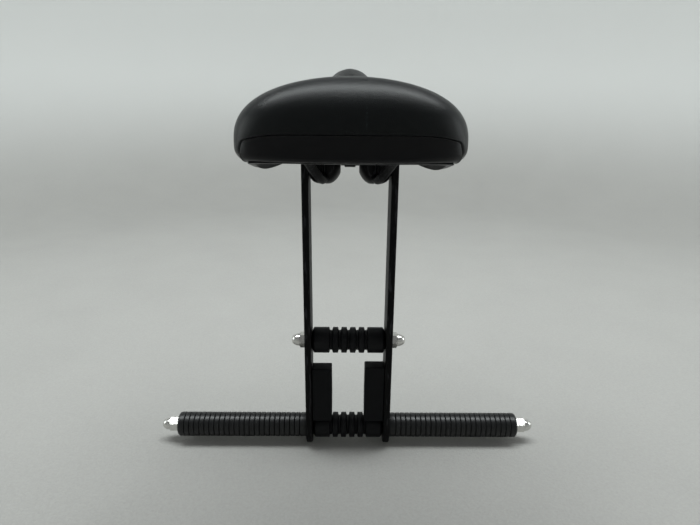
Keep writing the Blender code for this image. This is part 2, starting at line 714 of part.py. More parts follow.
def saddle_shell(outline, mat):
    """Moulded pan under the padding: a thin rim flange, a dished skin and the rail sockets."""
    wall = LOWER_CORNER + COVER_LIP + GAP
    rings = list(reversed(pan_rings(outline, wall, SHELL_SEAT)))
    rings.append(edge_ring(outline, wall, lambda y: rim_height(y) - GAP))
    rings.append(edge_ring(outline, SHELL_EDGE_INSET, lambda y: rim_height(y) - GAP))
    rings.append(edge_ring(outline, SHELL_EDGE_INSET, lambda y: rim_height(y) - GAP - SHELL_FLANGE))
    rings.append(edge_ring(outline, wall + SHELL_WALL, lambda y: rim_height(y) - GAP - SHELL_FLANGE))
    rings += pan_rings(outline, wall + SHELL_WALL + SHELL_DRAFT, SHELL_SEAT - SHELL_SKIN)
    shell = lofted_to_spine("saddle_shell", rings, mat)
    bpy.context.view_layer.update()
    rear = rail_route(1)[0]
    nose = rail_route(1)[-1]
    half = BOSS_WIDTH / 2
    for word, side in (("left", -1), ("right", 1)):
        x_low, x_high = sorted((side * (rear.x - half), side * (rear.x + half)))
        y_span = (rear.y - BOSS_PAST_RAIL, rear.y - BOSS_PAST_RAIL + BOSS_LENGTH)
        socket_boss("rail_socket_" + word, shell, (x_low, x_high), y_span, rail_bottom(rear.z))
    wide = NOSE_BOSS_WIDTH / 2
    y_high = nose.y + BOSS_PAST_RAIL
    socket_boss("nose_socket", shell, (-wide, wide), (y_high - BOSS_LENGTH, y_high), rail_bottom(nose.z))
    for word, side in (("left", -1), ("right", 1)):
        cut(shell, wire_mesh("rail_hole_" + word, rail_route(side), RAIL_RADIUS + PRESS))


def rail_bottom(z):
    return z - RAIL_RADIUS - BOSS_WALL


def saddle_rails(mat):
    for word, side in (("left", -1), ("right", 1)):
        wire("saddle_rail_" + word, rail_route(side), RAIL_RADIUS, mat)


def cup_profile(start, end, end_radius):
    """A domed cup from its split face to its narrow end, about the screw's hole."""
    way = math.copysign(1, end - start)
    wide = start + way * CUP_EDGE_BAND
    profile = [(start, BORE), (start, CUP_RADIUS - CUP_EDGE), (start + way * CUP_EDGE, CUP_RADIUS)]
    for i in range(CORNER_STEPS + 1):
        angle = math.pi / 2 * i / CORNER_STEPS
        radius = end_radius + (CUP_RADIUS - end_radius) * math.cos(angle)
        profile.append((wide + (end - wide) * math.sin(angle), radius))
    profile.append((end, BORE))
    return profile


def screw_profile():
    """Countersunk screw from its tip in the spacer to its flush head, with a driving socket."""
    face = BAR_OUTER
    cone = SCREW_HEAD_RADIUS - ROD_RADIUS
    floor = face - SCREW_SOCKET_DEPTH
    return [(SCREW_TIP, 0), (SCREW_TIP, ROD_RADIUS - SCREW_TIP_CHAMFER),
            (SCREW_TIP + SCREW_TIP_CHAMFER, ROD_RADIUS), (face - cone, ROD_RADIUS),
            (face, SCREW_HEAD_RADIUS), (face, SCREW_SOCKET_RADIUS),
            (floor, SCREW_SOCKET_RADIUS), (floor, 0)]


def rail_clamp(painted, steel):
    """Two cups a side that grip the rails, the spacer between them and a screw from each bar."""
    place = (0, 0, CLAMP_Z)
    outer = cup_profile(CUP_SPLIT + GAP, BAR_INNER - GAP, CUP_OUTER_END_RADIUS)
    inner = cup_profile(CUP_SPLIT - GAP, CUP_INNER_END, CUP_INNER_END_RADIUS)
    for word, side in (("left", -1), ("right", 1)):
        groove = wire_mesh("rail_groove_" + word, rail_route(side), RAIL_RADIUS + PRESS)
        for kind, profile in (("outer_", outer), ("inner_", inner)):
            cup = turned("clamp_cup_" + kind + word, mirrored(profile, side), CUP_SIDES, painted, place)
            cut(cup, groove)
        turned("clamp_screw_" + word, mirrored(screw_profile(), side), BOLT_SIDES, steel, place)
    end = CUP_INNER_END - GAP
    collar = SPACER_COLLAR_WIDTH / 2
    profile = [(-end, BORE), (end, BORE), (end, SPACER_RADIUS), (collar, SPACER_RADIUS),
               (collar, SPACER_COLLAR_RADIUS), (-collar, SPACER_COLLAR_RADIUS),
               (-collar, SPACER_RADIUS), (-end, SPACER_RADIUS)]
    turned("clamp_spacer", profile, BOLT_SIDES, painted, place)


def main():
    clear_scene()
    paint = make_material("satin_black_paint", (0.010, 0.010, 0.011), 0.42)
    rubber = make_material("black_rubber", (0.016, 0.017, 0.018), 0.62)
    steel = make_material("zinc_plated_steel", (0.46, 0.46, 0.45), 0.38, 1.0)
    chrome = make_material("chrome_plate", (0.76, 0.76, 0.75), 0.08, 1.0)
    vinyl = make_material("black_vinyl", (0.018, 0.019, 0.020), 0.40)
    plastic = make_material("black_polypropylene", (0.014, 0.014, 0.015), 0.48)
    side_bars(paint)
    rollers(rubber, steel)
    foot_pegs(rubber, steel)
    rods_and_nuts(steel, chrome)
    spacer_pads(rubber)
    rail_clamp(paint, steel)
    saddle_rails(paint)
    outline = saddle_outline()
    saddle_cover(outline, vinyl)
    rear_panel(outline, plastic)
    saddle_shell(outline, plastic)


main()
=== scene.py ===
"""Looks of the crossbar child seat: its soft saddle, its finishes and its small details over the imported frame."""

import math
from functools import partial

import bmesh
import bpy
from bpy.props import FloatProperty, FloatVectorProperty, PointerProperty
from mathutils import Matrix, Vector
from mathutils.kdtree import KDTree


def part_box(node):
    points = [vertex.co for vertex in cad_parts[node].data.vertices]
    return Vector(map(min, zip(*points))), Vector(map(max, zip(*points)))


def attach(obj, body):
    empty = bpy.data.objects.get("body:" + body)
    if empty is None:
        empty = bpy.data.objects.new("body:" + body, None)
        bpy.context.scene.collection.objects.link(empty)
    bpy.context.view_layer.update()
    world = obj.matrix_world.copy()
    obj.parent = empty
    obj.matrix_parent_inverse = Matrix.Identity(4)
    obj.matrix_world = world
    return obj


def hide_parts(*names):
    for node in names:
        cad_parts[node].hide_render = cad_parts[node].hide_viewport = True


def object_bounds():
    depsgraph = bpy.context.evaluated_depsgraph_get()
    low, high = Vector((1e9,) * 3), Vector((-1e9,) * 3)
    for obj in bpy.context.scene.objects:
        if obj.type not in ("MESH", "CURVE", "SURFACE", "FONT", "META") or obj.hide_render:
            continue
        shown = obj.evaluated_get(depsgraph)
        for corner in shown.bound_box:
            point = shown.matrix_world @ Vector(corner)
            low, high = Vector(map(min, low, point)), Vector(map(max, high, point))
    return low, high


bl_info = {
    "name": "Crossbar Child Seat",
    "version": (1, 0, 0),
    "blender": (4, 5, 0),
    "location": "View3D > Sidebar > Child Seat",
    "description": "Dresses a crossbar child seat with its padded saddle, metalwork, rubber and stage",
    "category": "Object",
}

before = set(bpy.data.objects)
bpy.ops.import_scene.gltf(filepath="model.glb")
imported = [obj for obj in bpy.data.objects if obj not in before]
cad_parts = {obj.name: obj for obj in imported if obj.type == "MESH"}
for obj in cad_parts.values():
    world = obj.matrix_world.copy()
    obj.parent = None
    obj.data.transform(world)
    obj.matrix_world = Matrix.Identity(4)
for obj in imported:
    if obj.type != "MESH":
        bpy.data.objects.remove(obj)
cad_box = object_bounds()

MM = 0.001

# Saddle form: the solids' tables read at a finer step, with the rear corners, wings and guard's ends moved a little
SIDE_TAPER = ((0, 0), (0.17, 0.134), (0.34, 0.46), (0.51, 0.734), (0.68, 0.906), (0.85, 0.974), (1, 1))
RIM_STATIONS = ((0, -0.5), (0.08, -3), (0.154, -5.5), (0.263, -10.5), (0.363, -8), (0.45, 4.5),
                (0.654, 16), (0.82, 23), (1, 29))
WIDEST_STATIONS = ((0, 17.5), (0.063, 12), (0.163, 10), (0.3, 9), (0.488, 21), (0.738, 34), (1, 42))
CROWN_STATIONS = ((0, 53.8), (0.22, 50.9), (0.47, 48.9), (0.72, 53.9), (1, 64.9))
PAN_STATIONS = ((0, 16), (0.28, 18), (0.55, 23), (1, 36))
SADDLE_LOW, SADDLE_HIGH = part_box("saddle_cover")
SCREW_LOW, SCREW_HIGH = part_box("clamp_screw_right")
CLAMP_Z = (SCREW_LOW.z + SCREW_HIGH.z) / 2
RIM_Z = CLAMP_Z + 12.4 * MM
WIDEST_Y = -78.0 * MM
WIDEST_HALF = SADDLE_HIGH.x - 0.5 * MM
NOSE_ROUND_Y = 98.0 * MM
NOSE_HALF = 23.5 * MM
SPINE_REAR_Y = -80.0 * MM
SPINE_NOSE_Y = 101.0 * MM
SQUARENESS = 2.4
REAR_SQUARENESS = 3.0  # the highlight in the photograph stays level further out than on the solids
PANEL_END_Y = -104.5 * MM
PANEL_END_RUN = 6.0 * MM
PANEL_LOWEST = 5.0 * MM
PANEL_INSET = 1.0 * MM
PANEL_THICK = 2.7 * MM
MOULDED_THICK = 2.2 * MM
PANEL_EDGE = 0.9 * MM
LOWER_CORNER = 7.5 * MM
FLAT_CORNER = 3.0 * MM
WING_CORNER = 12.5 * MM
SEAM_CORNER = 0.7 * MM
LIP = 13.0 * MM
SHELL_SEAT = 3.3 * MM
GAP = 0.3 * MM
SWELL_FRAMES = 20
# The flange's inset and drop in mm, close behind the guard, and how much further in it runs under the wings
FLANGE = ((6.1, 0.05), (5.3, 0.1), (4.85, 0.25), (4.7, 0.5), (4.85, 0.75), (5.3, 0.9), (7.1, 1.1), (9.7, 1.6))
WING_BACK = 4.8

# Rails, clamp and rods
RAIL_RADIUS = 3.5 * MM
RAIL_LOW_Z = CLAMP_Z - 13.0 * MM
RAIL_SPLIT = 22.0 * MM
RAIL_REAR = (32.0 * MM, -95.0 * MM, RIM_Z + 4.0 * MM)
RAIL_NOSE = (6.4 * MM, 96.0 * MM, RIM_Z + 25.0 * MM)
RAIL_FLAT = 24.0 * MM
RAIL_REAR_BENDS = ((0.09, 0.20, 0.08), (0.81, 0.67, 0.64))
RAIL_NOSE_BENDS = ((0.11, 0.23, 0.10), (0.86, 0.67, 0.66))
BORE = 4.3 * MM
BAR_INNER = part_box("side_bar_right")[0].x
BAR_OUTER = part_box("side_bar_right")[1].x
GRIP_SHORT = 1.6 * MM  # the photograph's grips end this much inside the solids, and their nuts reach in as far
PEG_Z = (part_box("peg_rod")[0].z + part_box("peg_rod")[1].z) / 2
ROLLER_Z = (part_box("upper_bolt")[0].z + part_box("upper_bolt")[1].z) / 2
SIDES = (("left", -1), ("right", 1))

# The photograph's view: degrees, metres, and the focal length as a share of the picture's width
VIEW_PITCH_YAW_ROLL = (-18.27, 0.50, 0.54)
VIEW_PLACE = (-0.0032, -0.4561, 0.2762)
VIEW_FOCUS = 526 / 700


def colour(value):
    """Linear red, green and blue of an sRGB hex value."""
    parts = [int(value[i:i + 2], 16) / 255 for i in (1, 3, 5)]
    return tuple(c / 12.92 if c <= 0.04045 else ((c + 0.055) / 1.055) ** 2.4 for c in parts)


def tint(value, name, description):
    return FloatVectorProperty(name=name, description=description, subtype="COLOR", size=3,
                               min=0.0, max=1.0, default=colour(value))


def length(value, name, description):
    return FloatProperty(name=name, description=description, unit="LENGTH", precision=5,
                         min=0.0, default=value)


class SaddleSettings(bpy.types.PropertyGroup):
    vinyl_colour: tint("#0A0D0E", "Vinyl", "Colour of the saddle cover")
    panel_colour: tint("#0B0B0D", "Panel", "Colour of the moulded rear panel and shell")
    grain: length(1.1 * MM, "Grain", "Size of one pebble of the embossed grain")
    start_inset: length(0.5 * MM, "Start inset", "How far inside the form the padding starts before it swells")
    swell: length(1.5 * MM, "Swell", "Most that the padding may swell")


class MetalSettings(bpy.types.PropertyGroup):
    paint_colour: tint("#09090A", "Powder coat", "Colour of the bars, rails and clamp")
    zinc_colour: tint("#B9BABB", "Zinc", "Colour of the plated rods and screws")
    chrome_colour: tint("#D6D5D1", "Chrome", "Colour of the cap nuts")
    edge_round: length(1.0 * MM, "Edge round", "Rounding of the bars' edges")
    peel: length(1.6 * MM, "Orange peel", "Size of one ripple of the powder coat")


class RubberSettings(bpy.types.PropertyGroup):
    rubber_colour: tint("#0B0C0E", "Rubber", "Colour of the rollers and pads")
    grip_colour: tint("#0A0B0C", "Grip", "Colour of the foot-peg grips")
    rib_round: length(0.5 * MM, "Rib round", "Rounding of the rollers' ribs")
    grip_round: length(0.22 * MM, "Grip round", "Rounding of the grips' ribs")
    pad_bulge: length(0.35 * MM, "Pad bulge", "How far the pads' faces swell")


class StageSettings(bpy.types.PropertyGroup):
    floor_colour: tint("#9E9D9A", "Floor", "Colour of the floor and backdrop")
    # Painted light: the backdrop's colour is lighter than the floor's, standing in for light that falls on the
    # backdrop.
    backdrop_painted_light_colour: tint("#CFD0CE", "Backdrop", "Colour that the floor turns to where it sweeps up")
    lamp_power: FloatProperty(name="Lamp", description="Power of the soft lamp overhead", unit="POWER",
                              min=0.0, default=34.0)


class SeatSettings(bpy.types.PropertyGroup):
    saddle: PointerProperty(type=SaddleSettings, name="Saddle", description="Saddle sizes and colours")
    metal: PointerProperty(type=MetalSettings, name="Metal", description="Metal sizes and colours")
    rubber: PointerProperty(type=RubberSettings, name="Rubber", description="Rubber sizes and colours")
    stage: PointerProperty(type=StageSettings, name="Stage", description="Floor and lamp")


# Node trees

def node(tree, kind, inputs=None, **settings):
    """Adds a shader node with its settings; each input named gets a value, or a link from a node or a socket."""
    made = tree.nodes.new("ShaderNode" + kind)
    for name, value in settings.items():
        setattr(made, name, value)
    for key, value in (inputs or {}).items():
        socket = made.inputs[key]
        if isinstance(value, bpy.types.Node):
            value = next(out for out in value.outputs if out.enabled)
        if isinstance(value, bpy.types.NodeSocket):
            tree.links.new(value, socket)
        elif socket.type == "RGBA" and len(value) == 3:
            socket.default_value = (*value, 1.0)
        else:
            socket.default_value = value
    return made


def new_finish(name):
    """An empty material, the call that adds a node to it, and its place texture in metres."""
    material = bpy.data.materials.new(name)
    material.use_nodes = True
    material.node_tree.nodes.clear()
    add = partial(node, material.node_tree)
    return material, add, add("TexCoord").outputs["Object"]


def finished(material, inputs):
    """The material with a shader that has these inputs."""
    shader = node(material.node_tree, "BsdfPrincipled", inputs)
    node(material.node_tree, "OutputMaterial", {"Surface": shader})
    return material


def per_metre(size):
    """How often a pattern of this size in mm repeats in a metre."""
    return 1000 / size


def lighter(base, factor):
    return tuple(min(1.0, c * factor) for c in base)


# Finishes. Inputs 6 and 7 of a Mix node are its two colours. The finest pattern of each finish, under 0.1 mm on
# the real surface, is drawn at 0.2 to 0.7 mm, as coarse as it needs to be to show.

def embossed_vinyl(settings):
    """PVC leathercloth, embossed and stretched over foam: a soft sheen broken by a fine pebble grain."""
    material, add, place = new_finish("embossed_vinyl")
    vinyl = settings.vinyl_colour
    warp = add("TexNoise", {"Vector": place, "Scale": per_metre(3.85), "Detail": 2.0})
    pushed = add("VectorMath", {0: warp.outputs["Color"], 1: (0.6 * MM,) * 3}, operation="MULTIPLY")
    moved = add("VectorMath", {0: place, 1: pushed}, operation="ADD")
    pebble = add("TexVoronoi", {"Vector": moved, "Scale": 1 / settings.grain}, feature="DISTANCE_TO_EDGE")
    crease = add("MapRange", {"Value": pebble, "From Max": 0.16})
    pore = add("TexNoise", {"Vector": place, "Scale": per_metre(0.385), "Detail": 3.0})
    cloud = add("TexNoise", {"Vector": place, "Scale": per_metre(45.5), "Detail": 4.0, "Roughness": 0.6})
    rub = add("MapRange", {"Value": cloud, "From Min": 0.35, "From Max": 0.75})
    base = add("Mix", {"Factor": rub, 6: vinyl, 7: lighter(vinyl, 1.35)}, data_type="RGBA")
    marked = add("Mix", {"Factor": scuff_mask(add, place), 6: base, 7: lighter(vinyl, 7.0)}, data_type="RGBA")
    sheen = add("MapRange", {"Value": rub, "To Min": 0.27, "To Max": 0.33})
    dull = add("MapRange", {"Value": crease, "To Min": 0.10, "To Max": 0.0})
    roughness = add("Math", {0: sheen, 1: dull}, operation="ADD")
    grit = add("MapRange", {"Value": pore, "To Max": 0.35})
    relief = add("Math", {0: crease, 1: grit}, operation="ADD")
    bump = add("Bump", {"Height": relief, "Strength": 0.45, "Distance": 0.1 * MM})
    return finished(material, {"Base Color": marked, "Roughness": roughness, "Normal": bump, "IOR": 1.52,
                               "Specular IOR Level": 0.18})


def scuff_mask(add, place):
    """One faint upright scuff low on the rear of the cover, a little right of the middle."""
    centre = (9.5 * MM, SADDLE_LOW.y, RIM_Z + 28 * MM)
    half_sizes = (1.11, 16.7, 9.09)
    off = add("VectorMath", {0: place, 1: centre}, operation="SUBTRACT")
    flat = add("VectorMath", {0: off, 1: [per_metre(s) for s in half_sizes]}, operation="MULTIPLY")
    reach = add("VectorMath", {0: flat}, operation="LENGTH")
    near = add("MapRange", {"Value": reach, "From Min": 1.0, "From Max": 0.2})
    grit = add("TexNoise", {"Vector": place, "Scale": per_metre(1.11), "Detail": 4.0})
    kept = add("MapRange", {"Value": grit, "From Min": 0.48, "From Max": 0.62})
    return add("Math", {0: near, 1: kept}, operation="MULTIPLY")


def moulded_polypropylene(name, settings, gloss):
    """Injection-moulded polypropylene out of a spark-eroded mould: dark, with a slight waxy light on its curves."""
    material, add, place = new_finish(name)
    plastic = settings.panel_colour
    spark = add("TexNoise", {"Vector": place, "Scale": per_metre(0.455), "Detail": 2.0})
    flow = add("TexNoise", {"Vector": place, "Scale": per_metre(28.6), "Detail": 3.0})
    base = add("Mix", {"Factor": flow, 6: plastic, 7: lighter(plastic, 1.3)}, data_type="RGBA")
    roughness = add("MapRange", {"Value": flow, "To Min": gloss, "To Max": gloss + 0.1})
    bump = add("Bump", {"Height": spark, "Strength": 0.5, "Distance": 0.04 * MM})
    return finished(material, {"Base Color": base, "Roughness": roughness, "Normal": bump, "IOR": 1.49,
                               "Specular IOR Level": 0.2})


def powder_coat(name, settings, gloss, specular):
    """Polyester powder baked on steel: deep black with the shallow ripple of the melted powder."""
    material, add, place = new_finish(name)
    paint = settings.paint_colour
    ripple = add("TexNoise", {"Vector": place, "Scale": 1 / settings.peel, "Detail": 1.0})
    speck = add("TexNoise", {"Vector": place, "Scale": per_metre(0.417), "Detail": 2.0})
    haze = add("TexNoise", {"Vector": place, "Scale": per_metre(22.2), "Detail": 5.0, "Roughness": 0.65})
    base = add("Mix", {"Factor": haze, 6: paint, 7: lighter(paint, 1.5)}, data_type="RGBA")
    marked = add("Mix", {"Factor": rubbed_edges(add, place), 6: base, 7: lighter(paint, 9.0)}, data_type="RGBA")
    roughness = add("MapRange", {"Value": haze, "To Min": gloss, "To Max": gloss + 0.1})
    grit = add("MapRange", {"Value": speck, "To Max": 0.12})
    relief = add("Math", {0: ripple, 1: grit}, operation="ADD")
    bump = add("Bump", {"Height": relief, "Strength": 0.25, "Distance": 0.08 * MM})
    return finished(material, {"Base Color": marked, "Roughness": roughness, "Normal": bump, "IOR": 1.5,
                               "Specular IOR Level": specular})


def rubbed_edges(add, place):
    """Where handling has rubbed the bars' long edges grey, in short broken runs."""
    run = (2.5, 2.5, 16.7)
    y = add("SeparateXYZ", {"Vector": place}).outputs["Y"]
    side = add("Math", {0: y}, operation="ABSOLUTE")
    edge = add("MapRange", {"Value": side, "From Min": 16.2 * MM, "From Max": 16.9 * MM})
    stretched = add("VectorMath", {0: place, 1: [per_metre(s) for s in run]}, operation="MULTIPLY")
    patch = add("TexNoise", {"Vector": stretched, "Scale": 1.0, "Detail": 4.0})
    broken = add("MapRange", {"Value": patch, "From Min": 0.56, "From Max": 0.66})
    return add("Math", {0: edge, 1: broken}, operation="MULTIPLY")


def moulded_rubber(name, base_colour, gloss, specular, pores):
    """Compression-moulded rubber: near black, matt, with a dry grey bloom in patches."""
    material, add, place = new_finish(name)
    bloom = add("TexNoise", {"Vector": place, "Scale": per_metre(14.3), "Detail": 5.0, "Roughness": 0.7})
    patch = add("MapRange", {"Value": bloom, "From Min": 0.42, "From Max": 0.72})
    pore = add("TexNoise", {"Vector": place, "Scale": per_metre(0.667), "Detail": 3.0})
    base = add("Mix", {"Factor": patch, 6: base_colour, 7: lighter(base_colour, 1.7)}, data_type="RGBA")
    roughness = add("MapRange", {"Value": patch, "To Min": gloss, "To Max": gloss * 1.25})
    bump = add("Bump", {"Height": pore, "Strength": pores, "Distance": 0.05 * MM})
    return finished(material, {"Base Color": base, "Roughness": roughness, "Normal": bump, "IOR": 1.52,
                               "Specular IOR Level": specular})


def bright_zinc(settings):
    """Zinc electroplated on turned steel: a soft silver with faint blue and straw patches."""
    material, add, place = new_finish("bright_zinc_plate")
    zinc = settings.zinc_colour
    bloom = add("TexNoise", {"Vector": place, "Scale": per_metre(8.33), "Detail": 4.0})
    grain = add("TexNoise", {"Vector": place, "Scale": per_metre(0.4), "Detail": 2.0})
    base = add("Mix", {"Factor": bloom, 6: lighter(zinc, 0.82), 7: zinc}, data_type="RGBA")
    roughness = add("MapRange", {"Value": bloom, "To Min": 0.24, "To Max": 0.38})
    bump = add("Bump", {"Height": grain, "Strength": 0.2, "Distance": 0.03 * MM})
    return finished(material, {"Base Color": base, "Roughness": roughness, "Normal": bump, "Metallic": 1.0})


def polished_chrome(settings):
    """Nickel and chrome plated on turned steel: mirror-like, with faint polishing rings and finger haze."""
    material, add, place = new_finish("polished_chrome_plate")
    chrome, ring = settings.chrome_colour, (0.192, 11.1, 11.1)
    along = add("VectorMath", {0: place, 1: [per_metre(s) for s in ring]}, operation="MULTIPLY")
    rings = add("TexNoise", {"Vector": along, "Scale": 1.0, "Detail": 2.0})
    haze = add("TexNoise", {"Vector": place, "Scale": per_metre(3.85), "Detail": 4.0, "Roughness": 0.6})
    smudge = add("MapRange", {"Value": haze, "From Min": 0.45, "From Max": 0.75})
    base = add("Mix", {"Factor": smudge, 6: chrome, 7: lighter(chrome, 0.86)}, data_type="RGBA")
    roughness = add("MapRange", {"Value": smudge, "To Min": 0.15, "To Max": 0.26})
    bump = add("Bump", {"Height": rings, "Strength": 0.12, "Distance": 0.02 * MM})
    return finished(material, {"Base Color": base, "Roughness": roughness, "Normal": bump, "Metallic": 1.0})


def woven_floor(settings):
    """A pale floor with the faint nap of a short carpet. Its colour is painted lighter where it sweeps up into the
    backdrop: painted light standing in for the lamps' light on the backdrop.
    """
    material, add, place = new_finish("pale_floor")
    low, high = settings.floor_colour, settings.backdrop_painted_light_colour
    nap = add("TexNoise", {"Vector": place, "Scale": per_metre(2.38), "Detail": 4.0, "Roughness": 0.7})
    cloud = add("TexNoise", {"Vector": place, "Scale": per_metre(111), "Detail": 2.0})
    pile, worn = add("MapRange", {"Value": nap, "To Max": 0.75}), add("MapRange", {"Value": cloud, "To Max": 0.25})
    mask = add("Math", {0: pile, 1: worn}, operation="ADD")
    floor = add("Mix", {"Factor": mask, 6: lighter(low, 0.80), 7: lighter(low, 1.16)}, data_type="RGBA")
    wall = add("Mix", {"Factor": mask, 6: lighter(high, 0.94), 7: high}, data_type="RGBA")
    height = add("SeparateXYZ", {"Vector": place}).outputs["Z"]
    # Painted light: as the sheet rises, its colour turns from the floor's to the lighter backdrop's, in place of lamp
    # light on the backdrop.
    painted_light_rise = add("MapRange", {"Value": height, "From Min": -0.06, "From Max": 0.35}, interpolation_type="SMOOTHSTEP")
    base = add("Mix", {"Factor": painted_light_rise, 6: floor, 7: wall}, data_type="RGBA")
    bump = add("Bump", {"Height": nap, "Strength": 0.5, "Distance": 1.2 * MM})
    return finished(material, {"Base Color": base, "Normal": bump, "Roughness": 0.9})


# Mesh helpers

def placed(name, data):
    """A new object in the scene."""
    made = bpy.data.objects.new(name, data)
    bpy.context.scene.collection.objects.link(made)
    return made


def smoothed(mesh, sharp=35.0):
    """Shades a mesh smooth between its hard edges."""
    mesh.shade_smooth()
    mesh.set_sharp_from_angle(angle=math.radians(sharp))


def shaped(name, bm, material, sharp=35.0):
    """Turns a bmesh into a closed object of its own, facing out and shaded smooth between its hard edges."""
    bmesh.ops.remove_doubles(bm, verts=bm.verts, dist=1e-6)
    bmesh.ops.recalc_face_normals(bm, faces=bm.faces)
    mesh = bpy.data.meshes.new(name)
    bm.to_mesh(mesh)
    bm.free()
    smoothed(mesh, sharp)
    if material:
        mesh.materials.append(material)
    return placed(name, mesh)


def stand_for(piece, slot, *nodes):
    """The piece rides on the frame and stands for the named solids, which it hides; slot is not used."""
    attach(piece, "root")
    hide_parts(*nodes)
    return piece


def turned(name, profile, material, z, steps, side=1, sharp=35.0):
    """A profile of (x, radius) points, mirrored where side is -1, turned about the X axis at a height."""
    bm = bmesh.new()
    verts = [bm.verts.new((side * x, 0, r)) for x, r in profile]
    edges = [bm.edges.new(pair) for pair in zip(verts, verts[1:])]
    if profile[0][1] > 0:
        edges.append(bm.edges.new((verts[-1], verts[0])))
    bmesh.ops.spin(bm, geom=verts + edges, axis=(1, 0, 0), cent=(0, 0, 0), steps=steps, angle=math.tau,
                   use_merge=True)
    bmesh.ops.translate(bm, verts=bm.verts, vec=(0, 0, z))
    return shaped(name, bm, material, sharp)


def filleted(points, radius, steps=3):
    """An open profile with each corner rounded."""
    out = [tuple(points[0])]
    for before, corner, after in zip(points, points[1:], points[2:]):
        middle = Vector(corner)
        back, ahead = Vector(before) - middle, Vector(after) - middle
        if abs(back.normalized().cross(ahead.normalized())) < 0.01:
            out.append(tuple(corner))
            continue
        reach = min(radius, back.length * 0.45, ahead.length * 0.45)
        start, end = middle + back.normalized() * reach, middle + ahead.normalized() * reach
        for i in range(steps + 1):
            t = i / steps
            out.append(tuple(start.lerp(middle, t).lerp(middle.lerp(end, t), t)))
    out.append(tuple(points[-1]))
    return out


def arc(centre, radius, start, end, steps):
    angles = [math.radians(start + (end - start) * i / steps) for i in range(steps + 1)]
    return [(centre[0] + radius * math.cos(a), centre[1] + radius * math.sin(a)) for a in angles]


def applied(piece):
    """Makes the piece's modifiers part of its mesh."""
    graph = bpy.context.evaluated_depsgraph_get()
    mesh = bpy.data.meshes.new_from_object(piece.evaluated_get(graph))
    piece.modifiers.clear()
    piece.data = mesh
    return piece


def softened(piece, width):
    """The piece with its hard edges rounded."""
    edge = piece.modifiers.new("edges", "BEVEL")
    edge.width = width
    edge.segments = 4
    edge.limit_method = "ANGLE"
    edge.angle_limit = math.radians(50)
    return applied(piece)


def carved(piece, cutter):
    """The piece with the cutter cut out of it, shaded anew."""
    boolean = piece.modifiers.new("cut", "BOOLEAN")
    boolean.operation = "DIFFERENCE"
    boolean.solver = "EXACT"
    boolean.object = cutter
    bpy.context.view_layer.update()
    smoothed(applied(piece).data)
    bpy.data.objects.remove(cutter)
    return piece


def bridge(bm, low, high):
    for i in range(len(low)):
        j = (i + 1) % len(low)
        bm.faces.new((low[i], low[j], high[j], high[i]))


# Saddle form

def smooth(stations, share):
    """Value at a share from 0 to 1, on a smooth curve through (share, value) stations."""
    if share <= stations[0][0]:
        return stations[0][1]
    if share >= stations[-1][0]:
        return stations[-1][1]
    slopes = [(after[1] - before[1]) / (after[0] - before[0]) for before, after in zip(stations, stations[2:])]
    slopes = [0.0, *slopes, 0.0]
    k = next(i for i, station in enumerate(stations[1:]) if share <= station[0])
    (left, low), (right, high) = stations[k], stations[k + 1]
    run = right - left
    t = (share - left) / run
    return ((2 * t ** 3 - 3 * t ** 2 + 1) * low + (t ** 3 - 2 * t ** 2 + t) * run * slopes[k]
            + (3 * t ** 2 - 2 * t ** 3) * high + (t ** 3 - t ** 2) * run * slopes[k + 1])


def quarter(steps, squareness=SQUARENESS):
    """Squared-off sine and cosine of each step of a quarter turn, the last step left out."""
    power = 2 / squareness
    return [(math.sin(math.pi / 2 * i / steps) ** power, math.cos(math.pi / 2 * i / steps) ** power)
            for i in range(steps)]


def along(y):
    return (y - SADDLE_LOW.y) / (SADDLE_HIGH.y - SADDLE_LOW.y)


def spine_y(y):
    return SPINE_REAR_Y + (SPINE_NOSE_Y - SPINE_REAR_Y) * along(y)


def height(stations, y):
    return RIM_Z + MM * smooth(stations, along(y))


def rim_height(y):
    return height(RIM_STATIONS, y)


def widest_height(y):
    return height(WIDEST_STATIONS, y)


def seam_drop(y):
    """0 where the cover ends on the rear panel, 1 where it reaches the rim."""
    t = min(max((y - PANEL_END_Y) / PANEL_END_RUN, 0.0), 1.0)
    return t * t * (3 - 2 * t)


def seam_height(y):
    drop = seam_drop(y)
    return widest_height(y) * (1 - drop) + rim_height(y) * drop


def saddle_outline(rear_steps=72, side_steps=44, nose_steps=18):
    """Plan points of the saddle, right side from the rear middle to the nose, then back on the left."""
    right = [(WIDEST_HALF * across, WIDEST_Y - (WIDEST_Y - SADDLE_LOW.y) * back)
             for across, back in quarter(rear_steps, REAR_SQUARENESS)]
    for share in (i / side_steps for i in range(side_steps)):
        half = WIDEST_HALF + (NOSE_HALF - WIDEST_HALF) * smooth(SIDE_TAPER, share)
        right.append((half, WIDEST_Y + (NOSE_ROUND_Y - WIDEST_Y) * share))
    right += [(NOSE_HALF * across, NOSE_ROUND_Y + (SADDLE_HIGH.y - NOSE_ROUND_Y) * ahead)
              for ahead, across in quarter(nose_steps)]
    right.append((0.0, SADDLE_HIGH.y))
    return right + [(-x, y) for x, y in reversed(right[1:-1])]


def inset_point(outline, i, distance):
    """Point i of the outline moved inwards along its own normal."""
    way = (Vector(outline[(i + 1) % len(outline)]) - Vector(outline[i - 1])).normalized()
    return outline[i][0] - way.y * distance, outline[i][1] + way.x * distance


def edge_ring(outline, distance, level):
    """The outline moved inwards, at the level that a function gives for each y."""
    return [(*inset_point(outline, i, distance), level(y)) for i, (_, y) in enumerate(outline)]


def pan_rings(outline, distance, lift, steps=6):
    """The dished inner surface from its edge to the spine."""
    edge = edge_ring(outline, distance, lambda y: rim_height(y) + lift)
    spots = [(*place, spine_y(y), height(PAN_STATIONS, y) + lift) for place, (_, y) in zip(edge, outline)]
    return [[(x * share, spine + (y - spine) * share, top + (z - top) * share ** 2) for x, y, z, spine, top in spots]
            for share in (1 - step / steps for step in range(steps + 1))]


